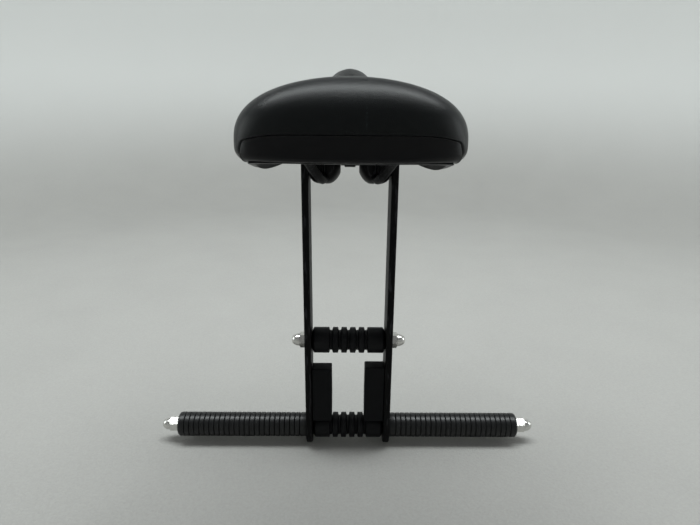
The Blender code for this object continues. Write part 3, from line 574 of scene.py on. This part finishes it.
def crown_rings(outline, steps=30):
    """From the spine out to the widest line, on a rounded section."""
    spots = [(x, y, spine_y(y), widest_height(y), height(CROWN_STATIONS, y)) for x, y in outline]
    return [[(x * across, spine + (y - spine) * across, low + (top - low) * up) for x, y, spine, low, top in spots]
            for across, up in quarter(steps) + [(1.0, 0.0)]]


def turned_in(outline, steps=8):
    """Rings of a quarter round from the cover's widest line in to its lower edge."""
    spots = []
    for i, (_, y) in enumerate(outline):
        across, low = SEAM_CORNER + (WING_CORNER - SEAM_CORNER) * seam_drop(y), seam_height(y)
        spots.append((i, across, low, max(min(across, widest_height(y) - low), SEAM_CORNER)))
    return [[(*inset_point(outline, i, across * (1 - math.cos(angle))), low + tall * (1 - math.sin(angle)))
             for i, across, low, tall in spots] for angle in (math.pi / 2 * s / steps for s in range(1, steps + 1))]


def skin(rings):
    """Faces between rings that start and end on the spine, where mirrored points meet."""
    bm = bmesh.new()
    rows = [[bm.verts.new(p) for p in ring] for ring in rings]
    for low, high in zip(rows, rows[1:]):
        bridge(bm, low, high)
    bmesh.ops.remove_doubles(bm, verts=bm.verts, dist=1e-5)
    bmesh.ops.dissolve_degenerate(bm, dist=1e-6, edges=bm.edges)
    return bm


def padding_share(place, normal):
    """1 where the cover is free to swell, 0 at its seam and on the hidden pan."""
    above = (place.z - seam_height(place.y) - 4 * MM) / (9 * MM)
    outside = (normal.z + 0.25) / 0.25
    return min(max(min(above, outside), 0.0), 1.0)


def swell(piece, settings):
    """Swells the padding: a coarse copy is blown up as cloth, and its movement is laid back on the piece."""
    dummy = placed("swelling", piece.data.copy())
    coarse = dummy.modifiers.new("coarse", "REMESH")
    coarse.mode = "VOXEL"
    coarse.voxel_size = 5 * MM
    applied(dummy)
    rest = [v.co.copy() for v in dummy.data.vertices]
    held = dummy.vertex_groups.new(name="held")
    for vert in dummy.data.vertices:
        held.add([vert.index], 1 - padding_share(vert.co, vert.normal), "REPLACE")
    cloth = dummy.modifiers.new("padding", "CLOTH").settings
    cloth.quality = 5
    cloth.mass = 0.3
    cloth.tension_stiffness = 25
    cloth.compression_stiffness = 25
    cloth.bending_stiffness = 4
    cloth.use_pressure = True
    cloth.uniform_pressure_force = 6.0
    cloth.effector_weights.gravity = 0.0
    cloth.vertex_group_mass = "held"
    for tick in range(1, SWELL_FRAMES + 1):
        bpy.context.scene.frame_set(tick)
    applied(dummy)
    moves = [vert.co - start for start, vert in zip(rest, dummy.data.vertices)]
    moves = [move.normalized() * min(move.length, settings.swell) for move in moves]
    tree = KDTree(len(rest))
    for i, start in enumerate(rest):
        tree.insert(start, i)
    tree.balance()
    bpy.context.scene.frame_set(1)
    bpy.data.objects.remove(dummy)
    for vert in piece.data.vertices:
        near = tree.find_n(vert.co, 8)
        weights = [1 / (d + MM) ** 2 for _, _, d in near]
        total = sum(weights)
        vert.co += sum((moves[i] * (w / total) for (_, i, _), w in zip(near, weights)), Vector())


def inset_form(bm, distance):
    """Moves the padded surface in along its normals, fading to nothing at the seam and below."""
    bmesh.ops.recalc_face_normals(bm, faces=bm.faces)
    bm.normal_update()
    moves = [vert.normal * -distance * padding_share(vert.co, vert.normal) for vert in bm.verts]
    for vert, move in zip(bm.verts, moves):
        vert.co += move


class SEAT_OT_saddle_cover(bpy.types.Operator):
    """Foam padding under a stretched vinyl cover, swollen a little between its seams"""

    bl_idname = "child_seat.saddle_cover"
    bl_label = "Saddle cover"

    def execute(self, context):
        settings = context.scene.child_seat.saddle
        outline = saddle_outline()
        rings = crown_rings(outline) + turned_in(outline) + [edge_ring(outline, LIP, seam_height)]
        bm = skin(rings + pan_rings(outline, LIP, SHELL_SEAT + GAP))
        inset_form(bm, settings.start_inset)
        cover = shaped("saddle_cover_vinyl", bm, embossed_vinyl(settings), sharp=60)
        swell(cover, settings)
        subdivide = cover.modifiers.new("fine", "SUBSURF")
        subdivide.levels = subdivide.render_levels = 1
        stand_for(applied(cover), "black_vinyl", "saddle_cover")
        return {"FINISHED"}


def lower_corner(x):
    """Radius of the guard's lower edge: small behind the middle, full round its ends."""
    return FLAT_CORNER + (LOWER_CORNER - FLAT_CORNER) * (abs(x) / WIDEST_HALF) ** 3


def panel_section(outline, i, steps=8):
    """Section of the rear panel at outline point i: a wall that turns in at the rim."""
    y = outline[i][1]
    low = rim_height(y)
    high = seam_height(y) - GAP
    corner = min(lower_corner(outline[i][0]), high - low - 0.5 * MM)
    small = max(corner - PANEL_THICK, 0.5 * MM)
    outer, inner = [], []
    for step in range(steps + 1):
        angle = math.pi / 2 * step / steps
        across, up = 1 - math.sin(angle), 1 - math.cos(angle)
        outer.append((*inset_point(outline, i, PANEL_INSET + corner * across), low + corner * up))
        inner.append((*inset_point(outline, i, PANEL_INSET + PANEL_THICK + small * across),
                      low + MOULDED_THICK + small * up))
    top_out = (*inset_point(outline, i, PANEL_INSET), high)
    top_in = (*inset_point(outline, i, PANEL_INSET + PANEL_THICK), high)
    return outer + [top_out, top_in] + inner[::-1]


class SEAT_OT_rear_panel(bpy.types.Operator):
    """Moulded guard round the saddle's lower rear, below the cover's seam"""

    bl_idname = "child_seat.rear_panel"
    bl_label = "Rear panel"

    def execute(self, context):
        settings = context.scene.child_seat.saddle
        outline = saddle_outline()
        count = len(outline)
        tall = [seam_height(y) - rim_height(y) > PANEL_LOWEST for _, y in outline]
        half = max(i for i in range(count // 2) if tall[i])
        bm = bmesh.new()
        rows = [[bm.verts.new(p) for p in panel_section(outline, i % count)] for i in range(-half, half + 1)]
        for low, high in zip(rows, rows[1:]):
            bridge(bm, low, high)
        bm.faces.new(rows[0])
        bm.faces.new(rows[-1])
        panel = shaped("saddle_rear_guard", bm, moulded_polypropylene("smooth_polypropylene", settings, 0.2))
        stand_for(softened(panel, PANEL_EDGE), "black_polypropylene", "saddle_rear_panel")
        return {"FINISHED"}


# Shell, rails and clamp

def rounded_block(bm, low, high, radius, bulge=0.0, edge_steps=4, face_steps=10):
    """Adds a block with rounded edges, its faces swelling a little in their middles."""
    middle = (Vector(low) + Vector(high)) / 2
    half = (Vector(high) - Vector(low)) / 2

    def steps(reach):
        flat = reach - radius
        fine = [flat + radius * i / edge_steps for i in range(1, edge_steps + 1)]
        coarse = [flat * (2 * i / face_steps - 1) for i in range(face_steps + 1)]
        return [-value for value in reversed(fine)] + coarse + fine

    for axis in range(3):
        across, up = (axis + 1) % 3, (axis + 2) % 3
        for side in (-1, 1):
            grid = []
            for u in steps(half[across]):
                row = []
                for v in steps(half[up]):
                    point = Vector()
                    point[axis], point[across], point[up] = side * half[axis], u, v
                    core = Vector([max(-h + radius, min(h - radius, p)) for p, h in zip(point, half)])
                    point = core + (point - core).normalized() * radius
                    share = (1 - (u / half[across]) ** 2) * (1 - (v / half[up]) ** 2)
                    point[axis] += side * bulge * share
                    row.append(bm.verts.new(middle + point))
                grid.append(row)
            for a, b in zip(grid, grid[1:]):
                for i in range(len(a) - 1):
                    bm.faces.new((a[i], a[i + 1], b[i + 1], b[i]))


class SEAT_OT_saddle_shell(bpy.types.Operator):
    """Moulded pan under the padding, with a thin flange and the sockets that hold the rails"""

    bl_idname = "child_seat.saddle_shell"
    bl_label = "Saddle shell"

    def execute(self, context):
        settings = context.scene.child_seat.saddle
        outline = saddle_outline(rear_steps=48)
        wall = LIP + GAP
        rings = list(reversed(pan_rings(outline, wall, SHELL_SEAT)))
        rings += [[(*inset_point(outline, i, (distance + WING_BACK * seam_drop(y)) * MM), rim_height(y) - drop * MM)
                   for i, (_, y) in enumerate(outline)] for distance, drop in FLANGE]
        rings += pan_rings(outline, wall + MOULDED_THICK, 0.3 * MM)
        bm = skin(rings)
        under, back, front, nose_half = RAIL_RADIUS + 3.2 * MM, 7 * MM, 13 * MM, 12.5 * MM
        for _, side in SIDES:
            x = side * RAIL_REAR[0]
            low = (x - back, RAIL_REAR[1] - back, RAIL_REAR[2] - under)
            rounded_block(bm, low, (x + back, RAIL_REAR[1] + front, RIM_Z + 14 * MM), 1.2 * MM)
        low = (-nose_half, RAIL_NOSE[1] - front, RAIL_NOSE[2] - under)
        rounded_block(bm, low, (nose_half, RAIL_NOSE[1] + back, RIM_Z + 34 * MM), 1.2 * MM)
        shell = shaped("saddle_shell_moulding", bm, moulded_polypropylene("textured_polypropylene", settings, 0.33))
        stand_for(shell, "black_polypropylene", "saddle_shell")
        return {"FINISHED"}


def rail_route(side):
    """Points of one rail from its rear socket through the clamp to the nose socket."""
    runs = []
    ends = ((RAIL_REAR, -RAIL_FLAT, RAIL_REAR_BENDS), (RAIL_NOSE, RAIL_FLAT, RAIL_NOSE_BENDS))
    for socket, flat_end, bends in ends:
        start = (RAIL_SPLIT, flat_end, RAIL_LOW_Z)
        run = [[a + (b - a) * share for a, b, share in zip(start, socket, bend)] for bend in bends]
        runs.append([start, *run, socket])
    return [Vector((side * x, y, z)) for x, y, z in runs[0][::-1] + runs[1]]


def bent_wire(name, points, radius, material, fine=True):
    """A round wire on one smooth curve with closed ends, as a mesh."""
    curve = bpy.data.curves.new(name, "CURVE")
    curve.dimensions = "3D"
    curve.bevel_depth = radius
    curve.bevel_resolution = 6 if fine else 3
    curve.resolution_u = 14 if fine else 6
    curve.use_fill_caps = True
    spline = curve.splines.new("BEZIER")
    spline.bezier_points.add(len(points) - 1)
    for point, place in zip(spline.bezier_points, points):
        point.co = place
        point.handle_left_type = point.handle_right_type = "AUTO"
    source = placed(name, curve)
    graph = bpy.context.evaluated_depsgraph_get()
    bm = bmesh.new()
    bm.from_mesh(bpy.data.meshes.new_from_object(source.evaluated_get(graph)))
    bpy.data.objects.remove(source)
    return shaped(name, bm, material)


class SEAT_OT_rails(bpy.types.Operator):
    """Two bent steel rails from the rear sockets through the clamp to the nose"""

    bl_idname = "child_seat.rails"
    bl_label = "Saddle rails"

    def execute(self, context):
        paint = powder_coat("glossy_powder_coat", context.scene.child_seat.metal, 0.4, 0.02)
        for word, side in SIDES:
            rail = bent_wire("rail_wire_" + word, rail_route(side), RAIL_RADIUS, paint)
            stand_for(rail, "satin_black_paint", "saddle_rail_" + word)
        return {"FINISHED"}


def cup_profile(start, end, end_radius, fullness):
    """A domed cup from its split face to its narrow end, about the screw's hole."""
    radius = 20.5 * MM
    way = math.copysign(1, end - start)
    wide = start + way * 3 * MM
    profile = [(start, BORE), (start, radius - 0.8 * MM), (start + way * 0.8 * MM, radius)]
    for i in range(17):
        angle = math.pi / 2 * i / 16
        profile.append((wide + (end - wide) * math.sin(angle),
                        end_radius + (radius - end_radius) * math.cos(angle) ** fullness))
    profile.append((end, BORE))
    return filleted(profile, 0.5 * MM, 2)


class SEAT_OT_rail_clamp(bpy.types.Operator):
    """Domed cups that grip the rails, the spacer between them and the countersunk screws"""

    bl_idname = "child_seat.rail_clamp"
    bl_label = "Rail clamp"

    def execute(self, context):
        settings = context.scene.child_seat.metal
        paint, zinc = powder_coat("clamp_powder_coat", settings, 0.3, 0.07), bright_zinc(settings)
        outer = cup_profile(RAIL_SPLIT + GAP, BAR_INNER - GAP, 12.5 * MM, 1.0)
        inner = cup_profile(RAIL_SPLIT - GAP, 8 * MM, 10.5 * MM, 1.6)
        for word, side in SIDES:
            for kind, profile in (("outer_", outer), ("inner_", inner)):
                cup = turned("rail_cup_" + kind + word, profile, paint, CLAMP_Z, 96, side)
                carved(cup, bent_wire("groove", rail_route(side), RAIL_RADIUS + GAP, None, fine=False))
                stand_for(cup, "satin_black_paint", "clamp_cup_" + kind + word)
            screw = turned("flush_screw_" + word, screw_profile(), zinc, CLAMP_Z, 64, side)
            stand_for(carved(screw, hex_key(side)), "zinc_plated_steel", "clamp_screw_" + word)
        end, collar = 7.7 * MM, 4.7 * MM
        neck, wide = 5 * MM, 6.3 * MM
        profile = [(-end, BORE), (-end, neck), (-collar, neck), (-collar, wide), (collar, wide), (collar, neck),
                   (end, neck), (end, BORE)]
        spacer = turned("spacer_collar", filleted(profile, 0.5 * MM), paint, CLAMP_Z, 64)
        stand_for(spacer, "satin_black_paint", "clamp_spacer")
        return {"FINISHED"}


def screw_profile():
    """Countersunk screw from its tip to its flush head."""
    return [(2 * MM, 0), (2 * MM, 3.2 * MM), (2.8 * MM, 4 * MM), (BAR_OUTER - 4.3 * MM, 4 * MM),
            (BAR_OUTER - 0.5 * MM, 7.8 * MM), (BAR_OUTER - 0.35 * MM, 7.95 * MM),
            (BAR_OUTER - 0.1 * MM, 7.9 * MM), (BAR_OUTER, 7.6 * MM), (BAR_OUTER, 0)]


def hex_key(side):
    """The hexagon that a key has left in a screw's head."""
    bm = bmesh.new()
    matrix = Matrix.Translation((side * BAR_OUTER, 0, CLAMP_Z)) @ Matrix.Rotation(math.pi / 2, 4, "Y")
    bmesh.ops.create_cone(bm, cap_ends=True, segments=6, radius1=2.9 * MM, radius2=2.9 * MM, depth=6.4 * MM,
                          matrix=matrix)
    return shaped("hex_key", bm, None)


# Bars, rollers, pads, pegs and nuts

class SEAT_OT_side_bars(bpy.types.Operator):
    """Two flat steel bars with a round lower end, rounded edges and a powder coat"""

    bl_idname = "child_seat.side_bars"
    bl_label = "Side bars"

    def execute(self, context):
        settings = context.scene.child_seat.metal
        paint = powder_coat("satin_powder_coat", settings, 0.45, 0.09)
        for word, side in SIDES:
            low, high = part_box("side_bar_" + word)
            half = (high.y - low.y) / 2
            corner = 9 * MM
            outline = arc((0, PEG_Z), half, 180, 360, 48)
            outline += arc((half - corner, high.z - corner), corner, 0, 90, 14)
            outline += arc((corner - half, high.z - corner), corner, 90, 180, 14)
            bm = bmesh.new()
            face = bm.faces.new([bm.verts.new((low.x, y, z)) for y, z in outline])
            grown = bmesh.ops.extrude_face_region(bm, geom=[face])
            moved = [item for item in grown["geom"] if isinstance(item, bmesh.types.BMVert)]
            bmesh.ops.translate(bm, verts=moved, vec=(high.x - low.x, 0, 0))
            bar = softened(shaped("flat_bar_" + word, bm, paint), settings.edge_round)
            cone = [(0, 0), (0, BORE), (BAR_OUTER - 4 * MM, BORE), (BAR_OUTER, 8.3 * MM),
                    (BAR_OUTER + 3 * MM, 8.3 * MM), (BAR_OUTER + 3 * MM, 0)]
            carved(bar, turned("countersink", cone, None, CLAMP_Z, 64, side))
            stand_for(bar, "satin_black_paint", "side_bar_" + word)
        return {"FINISHED"}


def roller_profile(low, high, radius):
    """Rubber sleeve with rounded ends and U grooves round its middle."""
    pitch, wide, floor, depth = 8.3 * MM, 1.7 * MM, 1.0 * MM, 2.8 * MM
    profile = [(low, 6.8 * MM), (low, radius - 3.5 * MM), (low + 2 * MM, radius)]
    for i in range(-2, 3):
        x = i * pitch
        profile += [(x - wide, radius), (x - floor, radius - depth), (x + floor, radius - depth), (x + wide, radius)]
    return profile + [(high - 2 * MM, radius), (high, radius - 3.5 * MM), (high, 6.8 * MM)]


class SEAT_OT_rollers(bpy.types.Operator):
    """Grooved rubber rollers above and below the bicycle's tube, each on a plated sleeve"""

    bl_idname = "child_seat.rollers"
    bl_label = "Rollers"

    def execute(self, context):
        settings = context.scene.child_seat.rubber
        rubber = moulded_rubber("moulded_roller_rubber", settings.rubber_colour, 0.48, 0.16, 0.45)
        zinc = bright_zinc(context.scene.child_seat.metal)
        for word, z in (("upper", ROLLER_Z), ("lower", PEG_Z)):
            low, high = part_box(word + "_roller")
            radius = max(high.z - z, z - low.z)
            profile = filleted(roller_profile(low.x, high.x, radius), settings.rib_round)
            roller = turned("rubber_roller_" + word, profile, rubber, z, 80, sharp=50)
            stand_for(roller, "black_rubber", word + "_roller")
            sleeve_profile = [(low.x, BORE), (high.x, BORE), (high.x, 6.5 * MM), (low.x, 6.5 * MM)]
            sleeve = turned("roller_sleeve_" + word, sleeve_profile, zinc, z, 48)
            stand_for(sleeve, "zinc_plated_steel", word + "_roller_tube")
        return {"FINISHED"}


class SEAT_OT_spacer_pads(bpy.types.Operator):
    """Cut rubber blocks on the bars' inner faces that centre the bicycle's tube"""

    bl_idname = "child_seat.spacer_pads"
    bl_label = "Spacer pads"

    def execute(self, context):
        settings = context.scene.child_seat.rubber
        rubber = moulded_rubber("cut_pad_rubber", settings.rubber_colour, 0.55, 0.12, 0.45)
        for word, _ in SIDES:
            low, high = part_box("spacer_pad_" + word)
            bm = bmesh.new()
            rounded_block(bm, low, high, 1.1 * MM, settings.pad_bulge)
            pad = shaped("rubber_pad_" + word, bm, rubber, sharp=60)
            stand_for(pad, "black_rubber", "spacer_pad_" + word)
        return {"FINISHED"}


def grip_profile(start, end, radius):
    """Foot-peg sleeve: rounded ribs between narrow grooves, and a rounded outer end."""
    pitch, half, depth, band, rounding = 5 * MM, 0.55 * MM, 1.1 * MM, 4.5 * MM, 2.7 * MM
    bore, flat = 8.8 * MM, 0.6 * MM
    shoulder = end - band
    grooves = int((shoulder - start) / pitch)
    profile = [(start, bore), (start, radius)]
    for i in range(grooves):
        x = shoulder - (grooves - i - 0.5) * pitch
        profile += [(x - half - flat, radius), (x - half, radius), (x, radius - depth), (x + half, radius),
                    (x + half + flat, radius)]
    profile += arc((end - rounding, radius - rounding), rounding, 90, 0, 10)
    return profile + [(end, bore)]


class SEAT_OT_foot_pegs(bpy.types.Operator):
    """Ribbed rubber grips on plated tubes, one peg each side"""

    bl_idname = "child_seat.foot_pegs"
    bl_label = "Foot pegs"

    def execute(self, context):
        settings = context.scene.child_seat.rubber
        rubber = moulded_rubber("moulded_grip_rubber", settings.grip_colour, 0.34, 0.38, 0.04)
        zinc = bright_zinc(context.scene.child_seat.metal)
        low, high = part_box("peg_grip_right")
        radius = max(high.z - PEG_Z, PEG_Z - low.z)
        end = high.x - GRIP_SHORT
        profile = filleted(grip_profile(low.x, end, radius), settings.grip_round, 2)
        tube = [(low.x, BORE), (end, BORE), (end, 8.5 * MM), (low.x, 8.5 * MM)]
        for word, side in SIDES:
            grip = turned("ribbed_grip_" + word, profile, rubber, PEG_Z, 108, side, sharp=60)
            stand_for(grip, "black_rubber", "peg_grip_" + word)
            core = turned("peg_core_" + word, tube, zinc, PEG_Z, 48, side)
            stand_for(core, "zinc_plated_steel", "peg_tube_" + word)
        return {"FINISHED"}


def cap_nut(name, side, seat, hex_height, dome_height, z, turn, material):
    """A plated hexagon with chamfered corners, a collar line and a domed cap. At turn 0 a flat faces up."""
    flats, dome, chamfer, count = 6.5 * MM, 5.9 * MM, 0.8 * MM, 96
    corner, collar = flats / math.cos(math.pi / 6), hex_height + 0.1 * MM
    stations = [(0.0, corner - chamfer), (chamfer * 0.25, corner - chamfer * 0.55), (chamfer * 0.5, corner)]
    stations += [(hex_height * i / 6, corner) for i in range(2, 5)]
    stations += [(hex_height - chamfer, corner), (hex_height - chamfer * 0.6, corner - chamfer * 0.5),
                 (hex_height - chamfer * 0.25, corner - chamfer * 1.1), (hex_height, corner - chamfer * 2.0),
                 (hex_height, dome + 0.25 * MM), (collar, dome)]
    for i in range(1, 24):
        angle = math.pi / 2 * i / 24
        stations.append((collar + (dome_height - 0.1 * MM) * math.sin(angle), dome * math.cos(angle) ** 0.8))
    bm = bmesh.new()

    def ring(x, reach):
        points = []
        for i in range(count):
            angle = math.tau * i / count
            radius = min(reach, flats / math.cos((angle - turn + math.pi / 6) % (math.pi / 3) - math.pi / 6))
            points.append((side * (seat + x), radius * math.sin(angle), z + radius * math.cos(angle)))
        return [bm.verts.new(point) for point in points]

    rows = [ring(0.0, BORE)] + [ring(x, reach) for x, reach in stations]
    bm.faces.new(rows[0])
    for low, high in zip(rows, rows[1:]):
        bridge(bm, low, high)
    tip = bm.verts.new((side * (seat + hex_height + dome_height), 0, z))
    for i in range(count):
        bm.faces.new((rows[-1][i], rows[-1][(i + 1) % count], tip))
    return shaped(name, bm, material, sharp=24)


class SEAT_OT_rods_and_nuts(bpy.types.Operator):
    """Chrome cap nuts on the ends of both rods"""

    bl_idname = "child_seat.rods_and_nuts"
    bl_label = "Rods and cap nuts"

    def execute(self, context):
        settings = context.scene.child_seat.metal
        chrome, zinc = polished_chrome(settings), bright_zinc(settings)
        rods = (("upper_", 5.2 * MM, 7.8 * MM, ROLLER_Z, 0.0, 0.0),
                ("peg_", 7 * MM, 8 * MM, PEG_Z, GRIP_SHORT, math.pi / 6))
        for kind, hex_height, dome_height, z, inward, turn in rods:
            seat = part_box(kind + "cap_nut_right")[0].x - inward
            hex_height += inward
            for word, side in SIDES:
                nut = cap_nut("domed_nut_" + kind + word, side, seat, hex_height, dome_height, z, turn, chrome)
                stand_for(nut, "chrome_plate", kind + "cap_nut_" + word)
        for name in ("upper_bolt", "peg_rod"):
            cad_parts[name].material_slots[0].material = zinc
        return {"FINISHED"}


# Stage

class SEAT_OT_stage(bpy.types.Operator):
    """A pale floor that sweeps up into a backdrop, soft lamps overhead and at the sides, and the photograph's view"""

    bl_idname = "child_seat.stage"
    bl_label = "Stage"

    def execute(self, context):
        settings = context.scene.child_seat.stage
        floor_z = cad_box[0].z - 0.5 * MM
        self.sweep(floor_z, woven_floor(settings))
        self.lamps(settings)
        self.surround()
        self.camera()
        context.scene.view_settings.view_transform = "Standard"
        return {"FINISHED"}

    def sweep(self, floor_z, material):
        """Floor, curve and low backdrop in one sheet, turned so that it looks the same from every side."""
        reach, bend, top = 1.7, 0.6, 1.2
        line = [(reach * i / 12, floor_z) for i in range(1, 8)]
        line += arc((reach - bend, floor_z + bend), bend, 270, 360, 24)
        line.append((reach, floor_z + top))
        bm = bmesh.new()
        rows = [[bm.verts.new((r * math.sin(a), r * math.cos(a), z)) for r, z in line]
                for a in (math.tau * i / 96 for i in range(96))]
        middle = bm.verts.new((0, 0, floor_z))
        for i, row in enumerate(rows):
            following = rows[(i + 1) % len(rows)]
            bm.faces.new((middle, following[0], row[0]))
            for k in range(len(row) - 1):
                bm.faces.new((row[k], following[k], following[k + 1], row[k + 1]))
        mesh = bpy.data.meshes.new("pale_sweep")
        bm.to_mesh(mesh)
        bm.free()
        mesh.shade_smooth()
        mesh.materials.append(material)
        placed("pale_sweep", mesh)

    def lamps(self, settings):
        """One broad soft lamp overhead, tipped a little to the backdrop, and a weaker one low down each side."""
        self.lamp("overhead_lamp", (0, 0.16, 1.45), (0, 0.46, 0.16), (2.1, 0.5), settings.lamp_power)
        for word, side in SIDES:
            place = (side * 1.25, 0.05, 0.45)
            self.lamp("side_lamp_" + word, place, (0, 0, 0.2), (0.5, 0.7), settings.lamp_power / 13)

    def lamp(self, name, place, aim, size, power):
        data = bpy.data.lights.new(name, "AREA")
        data.shape = "RECTANGLE"
        data.size, data.size_y = size
        data.energy = power
        data.color = colour("#F6FCFC")
        lamp = placed(name, data)
        lamp.location = place
        lamp.rotation_euler = (Vector(aim) - Vector(place)).to_track_quat("-Z", "Y").to_euler()
        lamp.visible_camera = False

    def surround(self):
        """A dim plain room that is brighter overhead."""
        world = bpy.data.worlds.new("plain_room")
        world.use_nodes = True
        tree = world.node_tree
        tree.nodes.clear()
        up = node(tree, "SeparateXYZ", {"Vector": node(tree, "TexCoord").outputs["Generated"]}).outputs["Z"]
        level = node(tree, "MapRange", {"Value": up, "From Min": 0.3, "From Max": 0.95, "To Min": 0.16,
                                        "To Max": 0.35})
        light = node(tree, "Background", {"Color": colour("#F2F3F5"), "Strength": level})
        node(tree, "OutputWorld", {"Surface": light})
        bpy.context.scene.world = world

    def camera(self):
        """The photograph's view, from behind the saddle and a little above it."""
        pitch, yaw, roll = (math.radians(a) for a in VIEW_PITCH_YAW_ROLL)
        turn = (Matrix.Rotation(-yaw, 4, "Z") @ Matrix.Rotation(math.pi / 2 + pitch, 4, "X")
                @ Matrix.Rotation(roll, 4, "Z"))
        data = bpy.data.cameras.new("photo_view")
        data.lens = VIEW_FOCUS * data.sensor_width
        data.clip_start, data.clip_end = 0.01, 20.0
        camera = placed("photo_view", data)
        camera.matrix_world = Matrix.Translation(VIEW_PLACE) @ turn
        bpy.context.scene.camera = camera


OPERATORS = (
    SEAT_OT_saddle_cover, SEAT_OT_rear_panel, SEAT_OT_saddle_shell, SEAT_OT_rails, SEAT_OT_rail_clamp,
    SEAT_OT_side_bars, SEAT_OT_rollers, SEAT_OT_spacer_pads, SEAT_OT_foot_pegs, SEAT_OT_rods_and_nuts,
    SEAT_OT_stage,
)
GROUPS = (SaddleSettings, MetalSettings, RubberSettings, StageSettings, SeatSettings)


class VIEW3D_PT_child_seat(bpy.types.Panel):
    """Sizes, colours and pieces of the child seat"""

    bl_idname = "VIEW3D_PT_child_seat"
    bl_label = "Child Seat"
    bl_space_type = "VIEW_3D"
    bl_region_type = "UI"
    bl_category = "Child Seat"

    def draw(self, context):
        seat = context.scene.child_seat
        for group in (seat.saddle, seat.metal, seat.rubber, seat.stage):
            box = self.layout.box()
            for name in group.__annotations__:
                box.prop(group, name)
        for operator in OPERATORS:
            self.layout.operator(operator.bl_idname)


def register():
    for kind in (*GROUPS, *OPERATORS, VIEW3D_PT_child_seat):
        bpy.utils.register_class(kind)
    bpy.types.Scene.child_seat = PointerProperty(type=SeatSettings)


def unregister():
    del bpy.types.Scene.child_seat
    for kind in reversed((*GROUPS, *OPERATORS, VIEW3D_PT_child_seat)):
        bpy.utils.unregister_class(kind)


def main():
    """Makes every piece and the stage in order."""
    register()
    for operator in OPERATORS:
        getattr(bpy.ops.child_seat, operator.bl_idname.split(".")[1])()


if __name__ == "__main__":
    main()
